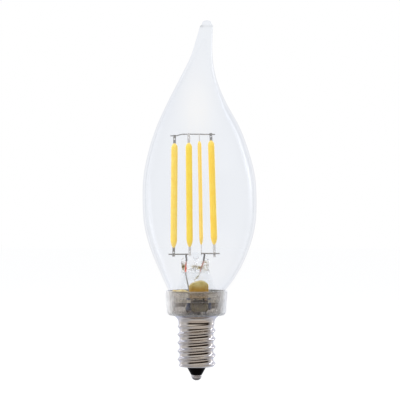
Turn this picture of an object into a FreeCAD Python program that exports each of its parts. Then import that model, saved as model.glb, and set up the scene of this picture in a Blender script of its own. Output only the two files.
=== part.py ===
import FreeCAD, Part
import math
import os
import re
import Sketcher

# Candelabra LED filament lamp with a clear bent-tip bulb, in millimetres.
# The origin is the end of the centre contact, on the axis of the screw cap, and +Z points to the glass tip.
# The photographed side faces -Y.

Vector = FreeCAD.Vector
Rotation = FreeCAD.Rotation

SIZES = [
    ("contact_flat", 0.6, "radius of the flat end of the centre contact"),
    ("contact_radius", 1.62, "radius of the contact head"),
    ("contact_dome", 1.15, "height of the tapering end of the contact head"),
    ("contact_bevel", 0.48, "height of the contact's bevel round its flat end"),
    ("contact_shoulder", 1.17, "radius of the contact above its bevel"),
    ("contact_rim", 0.55, "height of the straight rim of the contact head"),
    ("pin_radius", 0.7, "radius of the contact's shank"),
    ("pin_length", 5.7, "length of the contact's shank"),
    ("insulator_drop", 2.5, "height of the insulator's cone below the cap"),
    ("insulator_foot", 1.68, "radius of the insulator's cone at the contact"),
    ("insulator_brow", 3.05, "radius of the insulator's cone at the cap"),
    ("insulator_disc", 4.3, "radius of the insulator inside the cap"),
    ("insulator_fill", 1.7, "thickness of the insulator inside the cap"),
    ("cap_hole", 2.85, "radius of the hole in the cap's end"),
    ("cap_wall", 0.3, "thickness of the cap's sheet"),
    ("cap_corner", 0.7, "radius of the cap's rounded end"),
    ("thread_crest", 5.85, "radius over the thread's crests"),
    ("thread_root", 5.2, "radius at the thread's roots"),
    ("thread_pitch", 2.54, "pitch of the thread, ten turns to the inch"),
    ("thread_length", 12.5, "height of the threaded part"),
    ("thread_start", 0.15, "height above the corner where a crest faces +X"),
    ("thread_run_in", 0.6, "height over which the thread rises at the bottom"),
    ("thread_run_out", 1.8, "height over which the thread fades at the top"),
    ("flare_radius", 8.3, "radius of the cap's flared rim"),
    ("flare_height", 2.7, "height of the cap's flare"),
    ("fit_gap", 0.02, "play of a pressed or glued fit"),
    ("slide_gap", 0.15, "play of the collar's neck in the cap"),
    ("neck_length", 5.6, "length of the collar's neck inside the cap"),
    ("neck_wall", 0.7, "wall of the collar's neck"),
    ("collar_floor", 1.0, "thickness of the collar's floor"),
    ("collar_foot", 9.1, "radius of the collar above its chamfer"),
    ("collar_brim", 9.55, "radius of the collar at its top"),
    ("collar_height", 7.5, "height of the collar above the cap"),
    ("collar_chamfer", 0.7, "chamfer under the collar"),
    ("collar_bore", 8.9, "radius of the collar's mouth"),
    ("ledge_width", 0.9, "width of the ledge that carries the board"),
    ("ledge_height", 3.2, "height of the ledge above the collar's floor"),
    ("board_gap", 0.3, "play around the board's edge"),
    ("board_thickness", 0.8, "thickness of the driver board"),
    ("hole_gap", 0.1, "play of a wire in its hole in the board"),
    ("glass_lift", 1.0, "height of the stem's rim above the board"),
    ("stem_rim", 8.35, "radius of the stem's sealed rim"),
    ("stem_rim_height", 0.5, "thickness of the stem's sealed rim"),
    ("stem_wall", 0.7, "wall of the stem's flare"),
    ("glass_wall", 0.7, "wall of the blown bulb, measured level"),
    ("glass_dome", 1.7, "height of the rounded glass tip"),
    ("cavity_end", 0.5, "radius of the bulb's hollow at its upper end"),
    ("cavity_rise", 78.6, "height of the bulb's hollow"),
    ("cavity_lean", 2.3, "sideways place of the hollow's upper end"),
    ("glue_depth", 0.9, "depth of the glue below the bulb's neck"),
    ("bead_height", 0.8, "height of the glue bead above the collar"),
    ("bead_radius", 9.42, "outer radius of the glue bead"),
    ("bead_start", -142, "angle where the glue bead starts"),
    ("bead_sweep", 35, "angle that the glue bead spans"),
    ("pinch_shift", -0.4, "sideways place of the stem's pinch"),
    ("cup_x", -0.15, "sideways place of the exhaust cup"),
    ("cup_radius", 1.4, "radius of the exhaust cup"),
    ("cup_wall", 0.45, "wall of the exhaust cup"),
    ("cup_height", 3.0, "height of the exhaust cup"),
    ("cup_depth", 2.0, "depth of the exhaust cup's hollow"),
    ("cup_rise", 1.1, "height of the cup's mouth above the pinch"),
    ("exhaust_radius", 0.95, "radius of the sealed exhaust tube"),
    ("exhaust_bore", 0.45, "radius of the exhaust channel"),
    ("exhaust_stub", 2.0, "length of the exhaust tube below the hollow's end"),
    ("inner_lead_radius", 0.27, "radius of the nickel leads above the pinch"),
    ("seal_radius", 0.25, "radius of the copper-clad seal wires"),
    ("outer_lead_radius", 0.2, "radius of the leads below the pinch"),
    ("cross_radius", 0.2, "radius of the lower cross wires"),
    ("bridge_radius", 0.17, "radius of the upper bridge wire"),
    ("wire_bend", 0.5, "bend radius of the stiff wires"),
    ("left_cross_rise", 0.5, "height of the left cross wire above the pinch"),
    ("right_cross_rise", 0.75, "height of the right cross wire above the pinch"),
    ("cross_overhang", 1.6, "length of a cross wire past the outer filament"),
    ("left_cross_tail", 0.45, "length of the left cross wire past its inner filament"),
    ("right_cross_tail", 0.2, "length of the right cross wire past its inner filament"),
    ("bridge_overhang", 1.3, "length of the bridge wire past the outer filaments"),
    ("bridge_inset", 0.25, "distance of the bridge wire below the ends of the upper tabs"),
    ("bridge_hump", 0.55, "rise of the bridge wire between the filaments"),
    ("bridge_run", 2.0, "length of the raised bridge wire before the second filament"),
    ("bridge_fall", 0.12, "drop of the bridge wire from the third filament to the fourth"),
    ("weld_run", 0.5, "straight run of a wire beside a welded tab"),
    ("left_lead_x", -3.2, "sideways place of the left lead at its cross wire"),
    ("right_lead_x", 2.45, "sideways place of the right lead at its cross wire"),
    ("left_seal_x", -3.05, "sideways place of the left seal at its top"),
    ("right_seal_x", 2.1, "sideways place of the right seal at its top"),
    ("left_seal_foot", -3.3, "sideways place of the left seal at its foot"),
    ("right_seal_foot", 1.15, "sideways place of the right seal at its foot"),
    ("seal_depth", 1.6, "depth of the seal wires' tops below the pinch's top"),
    ("seal_length", 3.4, "height of the seal wires"),
    ("seal_run", 0.5, "straight run of a lead beyond its seal wire"),
    ("left_tail_x", -2.25, "sideways place of the left lead at the board"),
    ("left_tail_y", -0.3, "depth of the left lead at the board"),
    ("left_tail_rise", 2.5, "height above the board where the left lead turns down"),
    ("right_tail_x", -0.5, "sideways place of the right lead at the board"),
    ("right_tail_y", 2.75, "depth of the right lead at the board"),
    ("right_tail_gap", 0.2, "height above the choke where the right lead turns down"),
    ("filament_length", 32.3, "length of a filament's coated part"),
    ("filament_width", 2.0, "width of a filament"),
    ("filament_depth", 1.16, "thickness of a filament"),
    ("filament_taper", 2.0, "length of a filament's rounded end"),
    ("tab_width", 0.8, "width of a filament's metal end"),
    ("tab_thickness", 0.25, "thickness of a filament's metal end"),
    ("tab_root", 0.9, "length of a metal end inside the coating"),
    ("tab_hole", 0.2, "radius of the hole in a metal end"),
    ("choke_x", 1.03, "sideways place of the choke"),
    ("choke_y", -0.35, "depth of the choke"),
    ("choke_width", 5.46, "width of the choke over its tape"),
    ("choke_depth", 4.5, "depth of the choke over its tape"),
    ("choke_height", 5.7, "height of the choke over its tape"),
    ("choke_left_drop", 1.3, "drop of the tape's top at its left edge"),
    ("choke_right_drop", 0.8, "drop of the tape's top at its right edge"),
    ("choke_peak", 1.0, "width of the tape's level top"),
    ("core_radius", 2.0, "radius of the choke's drum core"),
    ("core_height", 4.0, "height of the choke's drum core"),
    ("core_flange", 0.6, "thickness of the drum core's flanges"),
    ("core_post", 0.9, "radius of the drum core's post"),
    ("winding_radius", 1.75, "radius over the choke's winding"),
    ("film_width", 5.0, "width of the film capacitor"),
    ("film_depth", 2.4, "depth of the film capacitor"),
    ("film_height", 2.8, "height of the film capacitor"),
    ("film_x", 0.9, "sideways place of the film capacitor"),
    ("film_y", -5.7, "depth of the film capacitor"),
    ("film_pitch", 2.5, "distance between the film capacitor's leads"),
    ("film_round", 0.5, "rounding of the film capacitor"),
    ("can_radius", 2.5, "radius of the smoothing capacitor"),
    ("can_length", 9.0, "length of the smoothing capacitor"),
    ("can_drop", 1.7, "gap between the board and the smoothing capacitor"),
    ("can_x", -0.9, "sideways place of the smoothing capacitor"),
    ("can_y", 0.6, "depth of the smoothing capacitor"),
    ("can_pitch", 2.0, "distance between the smoothing capacitor's leads"),
    ("can_groove", 0.25, "depth of the crimp round the capacitor"),
    ("can_crimp", 1.5, "distance of the crimp below the capacitor's top"),
    ("can_crimp_width", 1.0, "width of the crimp"),
    ("component_lead", 0.25, "radius of the components' leads"),
    ("lead_stub", 0.7, "length of a lead above the board"),
    ("fuse_radius", 1.0, "radius of the fusible resistor at its ends"),
    ("fuse_waist", 0.85, "radius of the fusible resistor at its middle"),
    ("fuse_length", 5.6, "length of the fusible resistor"),
    ("fuse_bulge", 1.2, "length of the fusible resistor's thicker ends"),
    ("fuse_bevel", 0.3, "bevel at the fusible resistor's ends"),
    ("fuse_lead_slope", 2.0, "height over which the lower lead crosses to the contact"),
    ("fuse_drop", 6.1, "distance from the board down to the fusible resistor"),
    ("fuse_x", 2.6, "sideways place of the fusible resistor"),
    ("fuse_y", -0.6, "depth of the fusible resistor"),
    ("fuse_tail", 2.2, "length of the fusible resistor's upper lead"),
    ("shell_wire_radius", 0.5, "radius of the insulated wire to the cap"),
    ("shell_wire_x", -2.45, "sideways place of the wire to the cap"),
    ("shell_wire_y", -6.6, "depth of the wire to the cap"),
    ("shell_wire_turn", -4.2, "depth where the wire to the cap turns towards the neck"),
    ("shell_drop_x", -1.4, "sideways place of the wire to the cap in the neck"),
    ("shell_drop_y", -3.1, "depth of the wire to the cap in the neck"),
    ("shell_strip", 0.3, "distance from the collar's neck to the end of the wire's insulation"),
    ("strand_room", 0.8, "least height between the collar's neck and the strand's joint"),
    ("strand_gap", 0.2, "room for the strand's slanting end at the cap's sheet"),
    ("line_wire_radius", 0.4, "radius of the insulated wire to the fusible resistor"),
    ("line_wire_x", 3.9, "sideways place of the wire to the fusible resistor"),
    ("line_wire_y", -5.9, "depth of the wire to the fusible resistor"),
    ("line_wire_turn", -4.0, "depth where the wire to the fusible resistor turns towards the neck"),
    ("wire_head", 0.7, "height of the insulated wires above the board"),
    ("duct_rise", 1.2, "height of the insulated wires above the collar's floor"),
    ("insulated_bend", 0.8, "bend radius of the insulated wires"),
    ("leg_width", 0.5, "width of a chip's leg"),
    ("leg_thickness", 0.2, "thickness of a chip's leg"),
]

LEVELS = [
    ("contact_head", "=contact_dome + contact_rim", "height of the contact head"),
    ("pin_top", "=contact_head + pin_length", "top of the contact's shank"),
    ("cap_base", "=contact_head + insulator_drop", "underside of the cap's end"),
    ("thread_mean", "=(thread_crest + thread_root) / 2", "mean radius of the thread"),
    ("thread_swing", "=(thread_crest - thread_root) / 2", "half the thread's depth"),
    ("thread_foot", "=cap_base + cap_corner", "bottom of the threaded part"),
    ("thread_top", "=thread_foot + thread_length", "top of the threaded part"),
    ("collar_base", "=thread_top + flare_height", "underside of the collar on the cap's rim"),
    ("neck_radius", "=thread_root - cap_wall - slide_gap", "radius of the collar's neck"),
    ("neck_bore", "=neck_radius - neck_wall", "radius inside the collar's neck"),
    ("neck_foot", "=collar_base - neck_length", "lower end of the collar's neck"),
    ("full_turns", "=floor((neck_foot - strand_room - thread_foot - thread_start) / thread_pitch - 1 / 4)",
     "whole turns of thread below the strand's joint with the cap"),
    ("floor_top", "=collar_base + collar_floor", "top of the collar's floor"),
    ("collar_top", "=collar_base + collar_height", "top of the collar"),
    ("board_base", "=floor_top + ledge_height", "underside of the board on the ledge"),
    ("board_top", "=board_base + board_thickness", "top of the board"),
    ("duct_height", "=floor_top + duct_rise", "height of the insulated wires inside the collar"),
    ("wire_top", "=board_top + wire_head", "top of the insulated wires"),
    ("shell_strip_height", "=neck_foot - shell_strip", "lower end of the insulation in the neck"),
    ("board_radius", "=collar_bore - board_gap", "radius of the board"),
    ("ledge_radius", "=collar_bore - ledge_width", "radius inside the ledge"),
    ("left_tail_top", "=board_top + left_tail_rise", "height where the left lead turns down"),
    ("right_tail_top", "=board_top + choke_height + right_tail_gap", "height where the right lead turns down"),
    ("stem_base", "=board_top + glass_lift", "underside of the stem's rim"),
    ("glass_base", "=stem_base + stem_rim_height", "lower end of the bulb's neck"),
    ("glue_base", "=glass_base - glue_depth", "lower end of the glue"),
]

# The bulb's outline: height above its neck's end, radius, and how far its centre leans to +X.
BULB = [
    ("bulb_neck", 0.0, 8.45, 0.0),
    ("bulb_mouth", 1.0, 8.7, 0.08),
    ("bulb_hem", 2.2, 9.5, 0.31),
    ("bulb_skirt", 7.0, 12.2, 0.85),
    ("bulb_hip", 13.2, 14.95, 1.0),
    ("bulb_low_belly", 20.6, 17.0, 1.0),
    ("bulb_belly", 28.4, 17.55, 0.95),
    ("bulb_high_belly", 36.6, 17.1, 0.85),
    ("bulb_chest", 44.0, 15.4, 0.65),
    ("bulb_shoulder", 51.4, 12.8, 0.45),
    ("bulb_slope", 58.7, 9.15, 0.1),
    ("bulb_throat", 66.1, 5.75, 0.46),
    ("bulb_spire", 73.5, 3.3, 1.65),
    ("bulb_crook", 78.6, 2.5, 2.45),
    ("bulb_tip", 82.5, 2.0, 3.1),
]

# The stem's outline: height above its rim's underside, half its width, half its depth, and its sideways shift.
STEM = [
    ("stem_foot", 0.0, 7.9, 7.9, 0.0),
    ("stem_flare", 0.7, 6.9, 6.9, 0.0),
    ("stem_cone", 2.2, 5.9, 5.9, 0.0),
    ("stem_tube", 4.4, 5.3, 5.2, 0.0),
    ("stem_shoulder", 6.2, 4.8, 3.2, -0.25),
    ("stem_press", 8.0, 4.25, 1.6, -0.4),
    ("stem_blade", 11.3, 4.1, 1.3, -0.4),
    ("stem_crown", 12.2, 3.6, 0.9, -0.4),
]
STEM_HOLLOW = 5

# Angles, in degrees, of the sections through the cap's corner, its flare and the glass tip,
# and the number of sections in a turn of thread.
CORNER_ANGLES = (0, 30, 60)
FLARE_ANGLES = (0, 18, 36, 54, 72, 90)
DOME_ANGLES = (30, 60, 80)
THREAD_SECTIONS = 8

# The filaments: foot x, head x, depth, height of the coated part's foot above the pinch,
# turn about its length, and the free lengths of the lower and the upper tab.
FILAMENTS = [
    ("first", -7.0, -6.75, -1.0, 2.4, 0, 2.6, 2.5),
    ("second", -2.1, -2.37, 0.3, 2.6, 12, 2.5, 2.9),
    ("third", 1.48, 0.9, 0.4, 3.2, 90, 3.0, 2.3),
    ("fourth", 5.45, 4.47, -0.8, 3.3, -8, 3.7, 2.2),
]

# The board's small parts: place, width, depth and height, and how many legs stand on each long side.
CHIPS = [
    ("rectifier", -5.1, 1.0, 3.4, 4.2, 1.5, 2),
    ("driver_chip", 0.3, 5.1, 4.0, 2.8, 1.4, 4),
    ("flywheel_diode", 5.3, 1.4, 2.6, 4.0, 2.0, 1),
    ("sense_resistor", -4.4, -4.0, 3.2, 1.6, 0.6, 0),
    ("chip_capacitor", 5.3, -2.9, 2.0, 1.3, 1.2, 0),
]

doc = FreeCAD.newDocument("CandleBulb")
sheet = doc.addObject("Spreadsheet::Sheet", "Sizes")
aliases = set()
pieces = []


def fill_sheet():
    """Write every size and level to the sheet, each with its meaning and its alias."""
    rows = list(SIZES)
    for word, rise, radius, lean in BULB:
        rows.append((word + "_rise", rise, "height of the " + word + " section"))
        rows.append((word + "_radius", radius, "radius of the " + word + " section"))
        rows.append((word + "_lean", lean, "lean of the " + word + " section"))
    for word, rise, width, depth, shift in STEM:
        rows.append((word + "_rise", rise, "height of the " + word + " section"))
        rows.append((word + "_width", width, "half width of the " + word + " section"))
        rows.append((word + "_depth", depth, "half depth of the " + word + " section"))
        rows.append((word + "_shift", shift, "shift of the " + word + " section"))
    for word, foot, head, depth, rise, turn, lower, upper in FILAMENTS:
        rows.append((word + "_foot", foot, "sideways place of the " + word + " filament's foot"))
        rows.append((word + "_head", head, "sideways place of the " + word + " filament's head"))
        rows.append((word + "_depth", depth, "depth of the " + word + " filament"))
        rows.append((word + "_rise", rise, "height of the " + word + " filament above the pinch"))
        rows.append((word + "_turn", turn, "turn of the " + word + " filament"))
        rows.append((word + "_lower", lower, "free length of the " + word + " filament's lower tab"))
        rows.append((word + "_upper", upper, "free length of the " + word + " filament's upper tab"))
    for word, x, y, width, depth, height, legs in CHIPS:
        rows.append((word + "_x", x, "sideways place of the " + word))
        rows.append((word + "_y", y, "depth of the " + word))
        rows.append((word + "_width", width, "width of the " + word))
        rows.append((word + "_deep", depth, "depth of the " + word))
        rows.append((word + "_height", height, "height of the " + word))
    rows += LEVELS
    rows.append(("pinch_top", "=stem_base + stem_crown_rise", "top of the stem's pinch"))
    for number, (alias, content, meaning) in enumerate(rows, start=1):
        sheet.set("A%d" % number, meaning)
        sheet.set("B%d" % number, str(content))
        sheet.setAlias("B%d" % number, alias)
        aliases.add(alias)
    doc.recompute()


def bound(expression):
    """The expression with each size's name pointed at the sheet."""

    def point(match):
        word = match.group()
        return "Sizes." + word if word in aliases else word

    return re.sub(r"[a-z]+(_[a-z]+)*", point, expression)


def size(expression):
    """The present value of an expression of size names."""
    return float(sheet.evalExpression(bound(expression)))


def bind(item, **expressions):
    """Bind properties, given with _ for the dots of their path, to expressions of size names."""
    for name, expression in expressions.items():
        item.setExpression(name.replace("_at_", "."), bound(expression))


def place(item, x="0", y="0", z="0"):
    """Bind an object's position to expressions."""
    bind(item, Placement_at_Base_at_x=x, Placement_at_Base_at_y=y, Placement_at_Base_at_z=z)


def keep(item, node):
    """Name a finished sub-part."""
    item.Label = node
    pieces.append(item)
    return item


def origin_plane(body, role):
    """One of a body's own origin planes."""
    for feature in body.Origin.OriginFeatures:
        if feature.Role == role:
            return feature
    raise ValueError(role)


def pin_corner(sketch, line, axis, expression):
    """Hold the start of a line at a distance from the sketch's origin along one axis."""
    kind, cross = ("DistanceX", -2) if axis == "x" else ("DistanceY", -1)
    value = size(expression)
    if expression == "0":
        sketch.addConstraint(Sketcher.Constraint("PointOnObject", line, 1, cross))
        return
    if value < 0:
        index = sketch.addConstraint(Sketcher.Constraint(kind, line, 1, -1, 1, -value))
        expression = "-(" + expression + ")"
    else:
        index = sketch.addConstraint(Sketcher.Constraint(kind, -1, 1, line, 1, value))
    sketch.setExpression("Constraints[%d]" % index, bound(expression))


def outline(body, role, corners):
    """A closed sketch of straight edges on one of the body's planes, its corners bound to the sheet."""
    sketch = body.newObject("Sketcher::SketchObject", body.Name + "Outline")
    sketch.AttachmentSupport = [(origin_plane(body, role), "")]
    sketch.MapMode = "FlatFace"
    points = [Vector(size(x), size(y), 0) for x, y in corners]
    for index, start in enumerate(points):
        sketch.addGeometry(Part.LineSegment(start, points[(index + 1) % len(points)]))
    for index in range(len(points)):
        following = (index + 1) % len(points)
        sketch.addConstraint(Sketcher.Constraint("Coincident", index, 2, following, 1))
    for index, (x, y) in enumerate(corners):
        pin_corner(sketch, index, "x", x)
        pin_corner(sketch, index, "y", y)
    return sketch


def turned(name, corners):
    """A body turned about its Z axis from corners of radius and height."""
    body = doc.addObject("PartDesign::Body", name)
    sketch = outline(body, "XZ_Plane", corners)
    turn = body.newObject("PartDesign::Revolution", name + "Turn")
    turn.Profile = sketch
    turn.ReferenceAxis = (sketch, ["V_Axis"])
    turn.Angle = 360
    doc.recompute()
    return body


def padded(name, role, corners, length, both_ways=False):
    """A body pulled out of an outline on one of its planes."""
    body = doc.addObject("PartDesign::Body", name)
    pad = body.newObject("PartDesign::Pad", name + "Pad")
    sketch = outline(body, role, corners)
    pad.Profile = sketch
    pad.Midplane = both_ways
    bind(pad, Length=length)
    body.Tip = pad
    doc.recompute()
    return body


def cylinder(name, radius, height, x="0", y="0", z="0"):
    """An upright cylinder."""
    item = doc.addObject("Part::Cylinder", name)
    bind(item, Radius=radius, Height=height)
    place(item, x, y, z)
    return item


def box(name, width, depth, height, x, y, z):
    """A box centred on x and y that stands on z."""
    item = doc.addObject("Part::Box", name)
    bind(item, Length=width, Width=depth, Height=height)
    place(item, "%s - (%s) / 2" % (x, width), "%s - (%s) / 2" % (y, depth), z)
    return item


def fused(name, items):
    """Several solids as one."""
    item = doc.addObject("Part::MultiFuse", name)
    item.Shapes = items
    return item


def cut(name, base, tool):
    """One solid less another."""
    item = doc.addObject("Part::Cut", name)
    item.Base = base
    item.Tool = tool
    return item


def loft(name, sections, ruled=False):
    """A closed solid through level sections."""
    item = doc.addObject("Part::Loft", name)
    item.Sections = sections
    item.Solid = True
    item.Ruled = ruled
    return item


def circle(name, radius, x, z, y="0"):
    """A level circle."""
    item = doc.addObject("Part::Circle", name)
    bind(item, Radius=radius)
    place(item, x, y, z)
    return item


def ellipse(name, width, depth, x, z):
    """A level ellipse, never wider in depth than in width."""
    item = doc.addObject("Part::Ellipse", name)
    bind(item, MajorRadius=width, MinorRadius=depth)
    place(item, x, "0", z)
    return item


def bent_path(points, bend):
    """Straight runs through the points, with an arc of the given radius at each inner one."""
    edges = []
    start = points[0]
    for before, corner, after in zip(points, points[1:], points[2:]):
        back = (before - corner).normalize()
        ahead = (after - corner).normalize()
        turn = math.pi - back.getAngle(ahead)
        if turn < 1e-3:
            continue
        shortest = min((before - corner).Length, (after - corner).Length)
        reach = min(bend * math.tan(turn / 2), 0.45 * shortest)
        radius = reach / math.tan(turn / 2)
        middle = corner + (back + ahead).normalize() * (radius / math.cos(turn / 2) - radius)
        arc_start = corner + back * reach
        arc_end = corner + ahead * reach
        edges.append(Part.LineSegment(start, arc_start).toShape())
        edges.append(Part.Arc(arc_start, middle, arc_end).toShape())
        start = arc_end
    edges.append(Part.LineSegment(start, points[-1]).toShape())
    return Part.Wire(edges)


def wire(name, radius, bend, places):
    """A round wire through places of x, y and z expressions."""
    points = [Vector(size(x), size(y), size(z)) for x, y, z in places]
    ring = Part.Wire(Part.makeCircle(size(radius), points[0], points[1] - points[0]))
    item = doc.addObject("Part::Feature", name)
    item.Shape = bent_path(points, size(bend)).makePipeShell([ring], True, True)
    item.Placement = FreeCAD.Placement()
    return item


def centre_contact():
    """Headed pin: its head meets the socket's contact, its shank holds the fusible resistor's lead."""
    body = turned(
        "CentreContact",
        [
            ("0", "0"),
            ("contact_flat", "0"),
            ("contact_shoulder", "contact_bevel"),
            ("contact_radius", "contact_dome"),
            ("contact_radius", "contact_head"),
            ("pin_radius", "contact_head"),
            ("pin_radius", "pin_top"),
            ("0", "pin_top"),
        ],
    )
    return keep(body, "centre_contact")


def cap_insulator():
    """Black glass moulded through the hole in the cap's end."""
    body = turned(
        "CapInsulator",
        [
            ("pin_radius + fit_gap", "contact_head"),
            ("insulator_foot", "contact_head"),
            ("insulator_brow", "cap_base"),
            ("cap_hole - fit_gap", "cap_base"),
            ("cap_hole - fit_gap", "cap_base + cap_wall"),
            ("insulator_disc", "cap_base + cap_wall"),
            ("insulator_disc", "cap_base + cap_wall + insulator_fill"),
            ("pin_radius + fit_gap", "cap_base + cap_wall + insulator_fill"),
        ],
    )
    return keep(body, "cap_insulator")


def thread_fade(height):
    """How much of the thread's depth stands at a height: it rises at the bottom and fades at the top."""

    def ease(share):
        share = min(max(share, 0.0), 1.0)
        return share * share * (3 - 2 * share)

    rising = ease((height - size("cap_base")) / size("thread_run_in"))
    fading = ease((size("thread_top") - height) / size("thread_run_out"))
    return rising * fading


def cap_sections(name, inset):
    """Level circles up one face of the cap's sheet: its corner, its thread and its flare.

    A round thread's level section is a circle whose centre goes once round the axis in each pitch.
    """
    sections = []

    def add(radius, z, x="0", y="0"):
        sections.append(circle("%s%d" % (name, len(sections)), radius, x, z, y))

    for angle in CORNER_ANGLES:
        radius = "thread_mean - cap_corner + (cap_corner - %s) * sin(%d)" % (inset, angle)
        add(radius, "cap_base + %s + (cap_corner - %s) * (1 - cos(%d))" % (inset, inset, angle))
    steps = max(round(size("thread_length / thread_pitch") * THREAD_SECTIONS), THREAD_SECTIONS)
    for step in range(steps):
        z = "thread_foot + thread_length * %d / %d" % (step, steps)
        swing = "thread_swing * %.4f" % thread_fade(size(z))
        angle = "(360 * (%s - thread_foot - thread_start) / thread_pitch)" % z
        add("thread_mean - " + inset, z, swing + " * cos" + angle, swing + " * sin" + angle)
    for angle in FLARE_ANGLES:
        radius = "thread_mean + (flare_radius - thread_mean) * (1 - cos(%d)) - %s * cos(%d)"
        height = "thread_top + flare_height * sin(%d) + %s * sin(%d)"
        add(radius % (angle, inset, angle), height % (angle, inset, angle))
    return sections


def cap_shell():
    """Thin nickel-plated cap: a rolled round thread, a pierced end and a flared rim."""
    outer = loft("CapOuter", cap_sections("CapOuterRing", "0"), ruled=True)
    inner = loft("CapInner", cap_sections("CapInnerRing", "cap_wall"), ruled=True)
    hole = cylinder("CapHole", "cap_hole", "cap_wall * 3", z="cap_base - cap_wall")
    sheet_only = cut("CapSheet", outer, inner)
    return keep(cut("CapShell", sheet_only, hole), "cap_shell")


def collar():
    """Clear plastic collar: a neck for the cap, a ledge for the board and a mouth for the bulb."""
    body = turned(
        "Collar",
        [
            ("neck_bore", "neck_foot"),
            ("neck_radius", "neck_foot"),
            ("neck_radius", "collar_base"),
            ("collar_foot - collar_chamfer", "collar_base"),
            ("collar_foot", "collar_base + collar_chamfer"),
            ("collar_brim", "collar_top"),
            ("collar_bore", "collar_top"),
            ("collar_bore", "board_base"),
            ("ledge_radius", "board_base"),
            ("ledge_radius", "floor_top"),
            ("neck_bore", "floor_top"),
        ],
    )
    return keep(body, "collar")


def driver_board():
    """Round circuit board with a hole for each wire and lead."""
    disc = cylinder("BoardDisc", "board_radius", "board_thickness", z="board_base")
    holes = [
        ("left_tail_x", "left_tail_y", "outer_lead_radius"),
        ("right_tail_x", "right_tail_y", "outer_lead_radius"),
        ("film_x - film_pitch / 2", "film_y", "component_lead"),
        ("film_x + film_pitch / 2", "film_y", "component_lead"),
        ("can_x - can_pitch / 2", "can_y", "component_lead"),
        ("can_x + can_pitch / 2", "can_y", "component_lead"),
        ("shell_wire_x", "shell_wire_y", "shell_wire_radius"),
        ("line_wire_x", "line_wire_y", "line_wire_radius"),
    ]
    drills = []
    for number, (x, y, radius) in enumerate(holes):
        drill = cylinder("BoardHole%d" % number, radius + " + hole_gap", "board_thickness * 3", x, y)
        bind(drill, Placement_at_Base_at_z="board_base - board_thickness")
        drills.append(drill)
    return keep(cut("DriverBoard", disc, fused("BoardHoles", drills)), "driver_board")


def chip(name, legs):
    """A small part under the board: a block with flat legs that lie against the board."""
    title = name.title().replace("_", "")
    body = box(
        title + "Block",
        name + "_width",
        name + "_deep",
        name + "_height",
        name + "_x",
        name + "_y",
        "board_base - " + name + "_height",
    )
    parts = [body]
    level = "board_base - leg_thickness"
    for side in (-1, 1):
        for index in range(round(legs)):
            x = "%s_x + %s_width * (%d / %d - 1 / 2)" % (name, name, 2 * index + 1, 2 * legs)
            y = "%s_y + %d * (%s_deep / 2 + leg_width / 2)" % (name, side, name)
            leg_name = "%sLeg%d%d" % (title, side + 1, index)
            parts.append(box(leg_name, "leg_width", "leg_width", "leg_thickness", x, y, level))
    return keep(fused(title, parts) if legs else body, name)


def lead_pair(name, word, length, foot):
    """The two upright leads of a component, side by side about its place."""
    leads = []
    for number, side in enumerate(("-", "+")):
        x = "%s_x %s %s_pitch / 2" % (word, side, word)
        leads.append(cylinder("%s%d" % (name, number), "component_lead", length, x, word + "_y", foot))
    return fused(name + "s", leads)


def film_capacitor():
    """Rounded film capacitor that hangs under the board's front edge, with two leads through the board."""
    level = "board_base - film_height"
    block = box("FilmBlock", "film_width", "film_depth", "film_height", "film_x", "film_y", level)
    doc.recompute()
    soft = doc.addObject("Part::Fillet", "FilmRound")
    soft.Base = block
    radius = min(size("film_round"), 0.4 * size("film_depth"), 0.4 * size("film_height"))
    soft.Edges = [(number, radius, radius) for number in range(1, 13)]
    keep(soft, "film_capacitor")
    leads = lead_pair("FilmLead", "film", "board_thickness + lead_stub", "board_base")
    return keep(leads, "film_capacitor_leads")


def smoothing_capacitor():
    """Sleeved can with a crimp round its neck, which hangs from its two leads into the cap."""
    can_top = "board_base - can_drop"
    body = turned(
        "SmoothingCapacitor",
        [
            ("0", can_top + " - can_length"),
            ("can_radius", can_top + " - can_length"),
            ("can_radius", can_top + " - can_crimp - can_crimp_width / 2"),
            ("can_radius - can_groove", can_top + " - can_crimp"),
            ("can_radius", can_top + " - can_crimp + can_crimp_width / 2"),
            ("can_radius", can_top),
            ("0", can_top),
        ],
    )
    place(body, "can_x", "can_y")
    keep(body, "smoothing_capacitor")
    leads = lead_pair("CanLead", "can", "can_drop + board_thickness", can_top)
    return keep(leads, "smoothing_capacitor_leads")


def choke():
    """Upright choke on the board: a drum core, its winding and the yellow tape folded over it."""
    half = "choke_width / 2"
    tape = padded(
        "ChokeTape",
        "XZ_Plane",
        [
            ("-" + half, "board_top"),
            (half, "board_top"),
            (half, "board_top + choke_height - choke_right_drop"),
            ("0", "board_top + choke_height"),
            ("-choke_peak", "board_top + choke_height"),
            ("-" + half, "board_top + choke_height - choke_left_drop"),
        ],
        "choke_depth",
        both_ways=True,
    )
    place(tape, "choke_x", "choke_y")
    room = cylinder("ChokeRoom", "core_radius + fit_gap", "core_height + fit_gap", z="board_top")
    bind(room, Placement_at_Base_at_x="choke_x", Placement_at_Base_at_y="choke_y")
    keep(cut("ChokeTapeHollow", tape, room), "choke_tape")
    core = turned(
        "ChokeCore",
        [
            ("0", "board_top"),
            ("core_radius", "board_top"),
            ("core_radius", "board_top + core_flange"),
            ("core_post", "board_top + core_flange"),
            ("core_post", "board_top + core_height - core_flange"),
            ("core_radius", "board_top + core_height - core_flange"),
            ("core_radius", "board_top + core_height"),
            ("0", "board_top + core_height"),
        ],
    )
    place(core, "choke_x", "choke_y")
    keep(core, "choke_core")
    winding = turned(
        "ChokeWinding",
        [
            ("core_post + fit_gap", "board_top + core_flange"),
            ("winding_radius", "board_top + core_flange"),
            ("winding_radius", "board_top + core_height - core_flange"),
            ("core_post + fit_gap", "board_top + core_height - core_flange"),
        ],
    )
    place(winding, "choke_x", "choke_y")
    return keep(winding, "choke_winding")


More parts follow.
